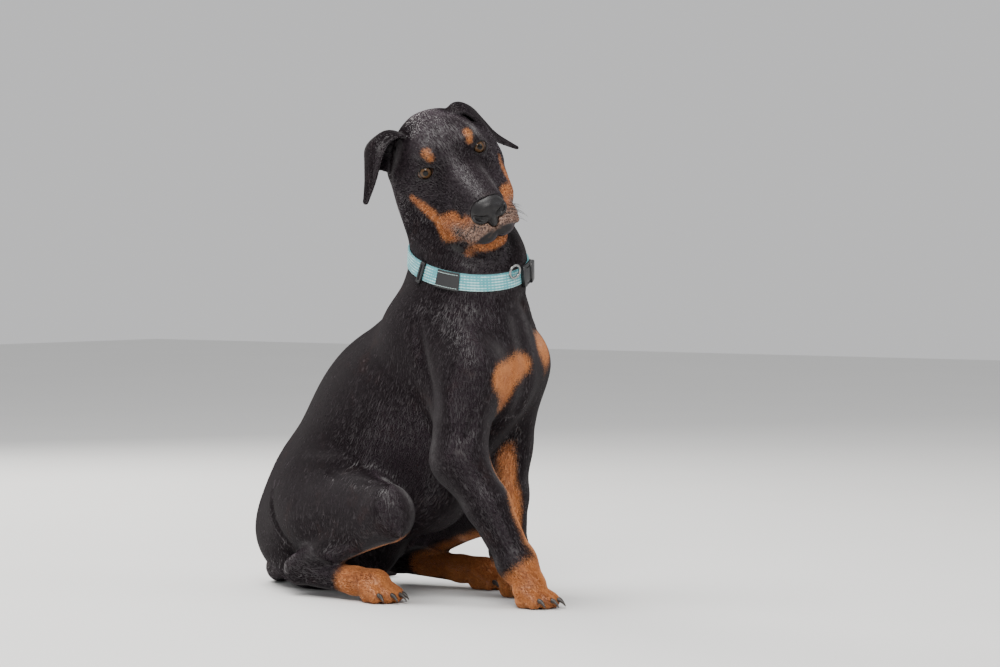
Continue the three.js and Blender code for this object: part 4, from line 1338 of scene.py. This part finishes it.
# Bars on the band: their two angles, steps, height, distances of the inner and outer face, bevel and rise
SLIDE_BARS = (
    (160, 161.6, 3, 20, 0, 3, 0.9, 0), (164.4, 166, 3, 20, 0, 3, 0.9, 0),
    (160.6, 165.4, 6, 2.6, 0, 3, 0.9, -8.7), (160.6, 165.4, 6, 2.6, 0, 3, 0.9, 8.7),
    (161, 165, 6, 14.5, 0, 1.4, 0.5, 0),
)
PATCH_BARS = (
    (-175, -150, 24, 16.4, 0, 1.1, 0.5, 0),
    (-175, -150, 24, 1.2, 0, 1.4, 0.4, -7.6), (-175, -150, 24, 1.2, 0, 1.4, 0.4, 7.6),
)
BUCKLE_BARS = (
    (-88, -84.5, 4, 21, 0, 4.6, 1.2, 0), (-85.5, -74, 12, 15, 0, 3.8, 1.2, 0),
    (-74.6, -66, 10, 21, 0, 5.4, 1.4, 0), (-67, -64, 4, 17.5, 0, 4.4, 1.2, 0),
    (-85.5, -74, 10, 2.4, 0.4, 3.4, 0.8, -9.2), (-85.5, -74, 10, 2.4, 0.4, 3.4, 0.8, 9.2),
)


def band_piece(name, bars, material, slot, node):
    parts = []
    for start, end, steps, height, inner, outer, bevel, rise in bars:
        section = rounded(height, ON_BAND + inner, ON_BAND + outer, bevel) + [rise, 0]
        parts.append(bar(start, end, section, steps))
    closed_piece(name, gathered(parts), material, slot, node)


def webbing():
    """Teal webbing woven with pale lines along it."""
    cloth = Material("teal webbing", Roughness=0.72, Sheen_Weight=0.15)
    along, rise = cloth.value_of("along"), cloth.value_of("rise")
    lines = (rise * 2.4).sine() * 0.5 + 0.5
    dashes = (along * 1.9).sine() * 0.5 + 0.5
    patchy = cloth.noise(90, 2)
    pale = (lines * 0.6 + dashes * 0.22 + (patchy - 0.5) * 1.2).clamp(0.45, 0.75)
    color = cloth.mix(pale, (0.075, 0.33, 0.37), (0.42, 0.68, 0.69))
    cloth.set(Base_Color=color)
    weave = (along * 5.2).sine() * 0.5 + (rise * 5.2).sine() * 0.5
    cloth.bump(weave, 0.5, 0.0004)
    return cloth.data


def plastic(name, low, high, rough):
    return mottled(name, 700, low, high, rough, 0.12, (0.15, 0.0002))


def make_collar():
    section = rounded(BAND_HEIGHT, -BAND_PRESS, BAND_OUT, 0.7)
    rows = np.vstack([section, np.stack([np.linspace(7, -7, 9), np.full(9, -BAND_PRESS)], axis=1)])
    steps = 240
    band = bar(0, 360, rows, steps)
    strap = closed_piece("collar_band", band, webbing(), "collar_webbing", "collar_strap")
    attribute(strap, "along", np.repeat(np.arange(steps) * 360 / steps * 1.05, len(rows)))
    attribute(strap, "rise", np.tile(rows[:, 0], steps))
    black = plastic("black plastic", (0.010, 0.010, 0.011), (0.022, 0.022, 0.024), 0.32)
    rubber = plastic("dark rubber", (0.009, 0.009, 0.010), (0.018, 0.018, 0.020), 0.5)
    band_piece("slide", SLIDE_BARS, black, "collar_plastic", "collar_slide")
    band_piece("bare_patch", PATCH_BARS, rubber, "collar_patch", "collar_patch")
    band_piece("buckle", BUCKLE_BARS, black, "collar_plastic", "collar_buckle")
    make_ring()
    make_stitches()


RING_ANGLE, RING_RISE, RING_RADIUS, RING_WIRE = -99, 9, 6.5, 1.3


def make_ring():
    centre = on_band(RING_ANGLE, RING_RISE, ON_BAND + RING_WIRE + 2.2)[0]
    across = unit(on_band(RING_ANGLE + 1, 0, 0)[0] - on_band(RING_ANGLE - 1, 0, 0)[0])
    line = centre + RING_RADIUS * ring_of(64, across, BAND_UP)
    wire = ring_of(16, unit(line - centre)[:, None], np.cross(across, BAND_UP))
    mesh = (line[:, None] + RING_WIRE * wire).reshape(-1, 3), loop_faces(64, 16)
    colors = (0.22, 0.22, 0.22), (0.34, 0.34, 0.335)
    steel = mottled("polished steel", 250, *colors, 0.18, 0.14, detail=3, Metallic=1.0)
    closed_piece("tag_ring", mesh, steel, "collar_steel", "collar_ring")


# Stitches: one tree lays a thread on each point of a mesh, turned along the seam

def stitch_tree(thread):
    tree = bpy.data.node_groups.new("stitches", "GeometryNodeTree")
    tree.interface.new_socket("Geometry", in_out="INPUT", socket_type="NodeSocketGeometry")
    for label, value in (("Stitch length", 0.0019), ("Thread radius", 0.00032), ("Uneven turn", 0.12)):
        socket = tree.interface.new_socket(label, in_out="INPUT", socket_type="NodeSocketFloat")
        socket.default_value = value
    tree.interface.new_socket("Geometry", in_out="OUTPUT", socket_type="NodeSocketGeometry")

    node = partial(add_node, tree)
    group = node("NodeGroupInput")
    length, radius, uneven = (group.outputs[i] for i in (1, 2, 3))
    shape = {"Vertices": 8, "Side Segments": 1, "Radius": radius, "Depth": length}
    cylinder = node("GeometryNodeMeshCylinder", None, shape)
    seam = node("GeometryNodeInputNamedAttribute", dict(data_type="FLOAT_VECTOR"), {"Name": "seam"})
    turned = node("FunctionNodeAlignEulerToVector", dict(axis="Z"), {"Vector": seam.outputs[0]})
    least = node("ShaderNodeMath", dict(operation="MULTIPLY"), {0: uneven, 1: -1.0})
    spread = {"Min": least.outputs[0], "Max": uneven, "Seed": RANDOM_SEED}
    chance = node("FunctionNodeRandomValue", dict(data_type="FLOAT"), spread)
    spin = node("FunctionNodeRotateEuler", dict(rotation_type="AXIS_ANGLE", space="LOCAL"),
                {"Rotation": turned.outputs[0], "Angle": chance.outputs[1], "Axis": (1, 0, 0)})
    laid = node("GeometryNodeInstanceOnPoints", None,
                {"Points": group.outputs[0], "Instance": cylinder.outputs[0], "Rotation": spin.outputs[0]})
    real = node("GeometryNodeRealizeInstances", None, {0: laid.outputs[0]})
    smooth = node("GeometryNodeSetShadeSmooth", None, {0: real.outputs[0]})
    painted = node("GeometryNodeSetMaterial", None, {0: smooth.outputs[0], "Material": thread})
    node("NodeGroupOutput", None, {0: painted.outputs[0]})
    return tree


def make_stitches():
    """Rows of stitches round the patch and beside the slide and the buckle."""
    rows = [(a, rise, ON_BAND + 1.15, (0, 1)) for rise in (-6.3, 6.3) for a in np.arange(-173.6, -151, 2.3)]
    for angle in (-96, -61, -57, 157, 169):
        rows += [(angle, rise, BAND_OUT + 0.1, (1, 0)) for rise in np.arange(-6.0, 6.1, 2.4)]
    degrees, rises, out = (np.array([row[i] for row in rows], float) for i in range(3))
    spots = on_band(degrees, rises, out)
    ahead = unit(on_band(degrees + 0.5, rises, out) - on_band(degrees - 0.5, rises, out))
    way = np.array([up * BAND_UP + along * a for (_, _, _, (up, along)), a in zip(rows, ahead)])
    cotton = mottled("pale thread", 800, (0.30, 0.42, 0.41), (0.45, 0.56, 0.54), 0.7)
    stitches = mesh_object("stitches", spots, [])
    made = stitches.data.attributes.new("seam", "FLOAT_VECTOR", "POINT")
    made.data.foreach_set("vector", way.astype(np.float32).ravel())
    nodes = stitches.modifiers.new("stitches", "NODES")
    nodes.node_group = stitch_tree(cotton)
    for item in nodes.node_group.interface.items_tree:
        if item.in_out == "INPUT" and item.socket_type == "NodeSocketFloat":
            nodes[item.identifier] = item.default_value
    result = bpy.data.meshes.new_from_object(stitches.evaluated_get(bpy.context.evaluated_depsgraph_get()))
    stitches.modifiers.remove(nodes)
    stitches.data = result
    piece(stitches, None, "collar_webbing")


make_coat()
make_nose()
make_eyes()
make_claws()
make_whiskers(np.random.default_rng(RANDOM_SEED))
make_collar()


# Floor, light and camera

def aimed(obj, place, aim):
    obj.location = place
    obj.rotation_euler = (Vector(aim) - Vector(place)).to_track_quat("-Z", "Y").to_euler()


def area_light(name, place, aim, size, watts, color):
    data = bpy.data.lights.new(name, "AREA")
    data.shape = "DISK"
    data.size = size
    data.energy = watts
    data.color = color
    aimed(linked(name, data), place, aim)


def studio():
    mesh = bpy.data.meshes.new("floor")
    reach = 6.0
    corners = [(-reach, -reach, 0), (reach, -reach, 0), (reach, reach, 0), (-reach, reach, 0)]
    mesh.from_pydata(corners, [], [(0, 1, 2, 3)])
    mesh.materials.append(mottled("pale floor", 3, (0.72, 0.72, 0.71), (0.75, 0.75, 0.74), 0.9))
    linked("floor", mesh)
    middle = (0, -0.02, 0.3)
    area_light("key", (-1.9, -1.3, 1.9), middle, 1.2, 62, (1, 0.98, 0.95))
    area_light("top", (-0.5, 0.5, 2.3), middle, 1.5, 60, (1, 0.985, 0.96))
    area_light("back", (0.9, 1.9, 1.3), middle, 1.2, 40, (1, 0.97, 0.92))
    area_light("fill", (0.6, -2.4, 1.5), middle, 1.8, 16, (0.97, 0.97, 1))
    world = bpy.data.worlds.new("studio")
    world.use_nodes = True
    sky = world.node_tree.nodes["Background"].inputs
    sky["Color"].default_value = (0.90, 0.90, 0.91, 1)
    sky["Strength"].default_value = 0.75
    bpy.context.scene.world = world


# The photograph was taken from the dog's front right, a little lower than its eyes
CAMERA_AZIMUTH = -52.0
CAMERA_AWAY = 3750.0
CAMERA_HEIGHT = 370.0
LENS_PER_SENSOR = 3.75
AIM_ACROSS = 80.0
AIM_DOWN = -108.5


def camera():
    data = bpy.data.cameras.new("camera")
    data.sensor_width = 36
    data.lens = 36 * LENS_PER_SENSOR
    eye = linked("camera", data)
    a = math.radians(CAMERA_AZIMUTH)
    right = vec(math.cos(a), math.sin(a), 0)
    back = vec(math.sin(a), -math.cos(a), 0)
    stand = right * AIM_ACROSS + back * CAMERA_AWAY + [0, 0, CAMERA_HEIGHT]
    aim = right * AIM_ACROSS + [0, 0, CAMERA_HEIGHT + AIM_DOWN]
    aimed(eye, placed(stand), placed(aim))
    bpy.context.scene.camera = eye


studio()
camera()
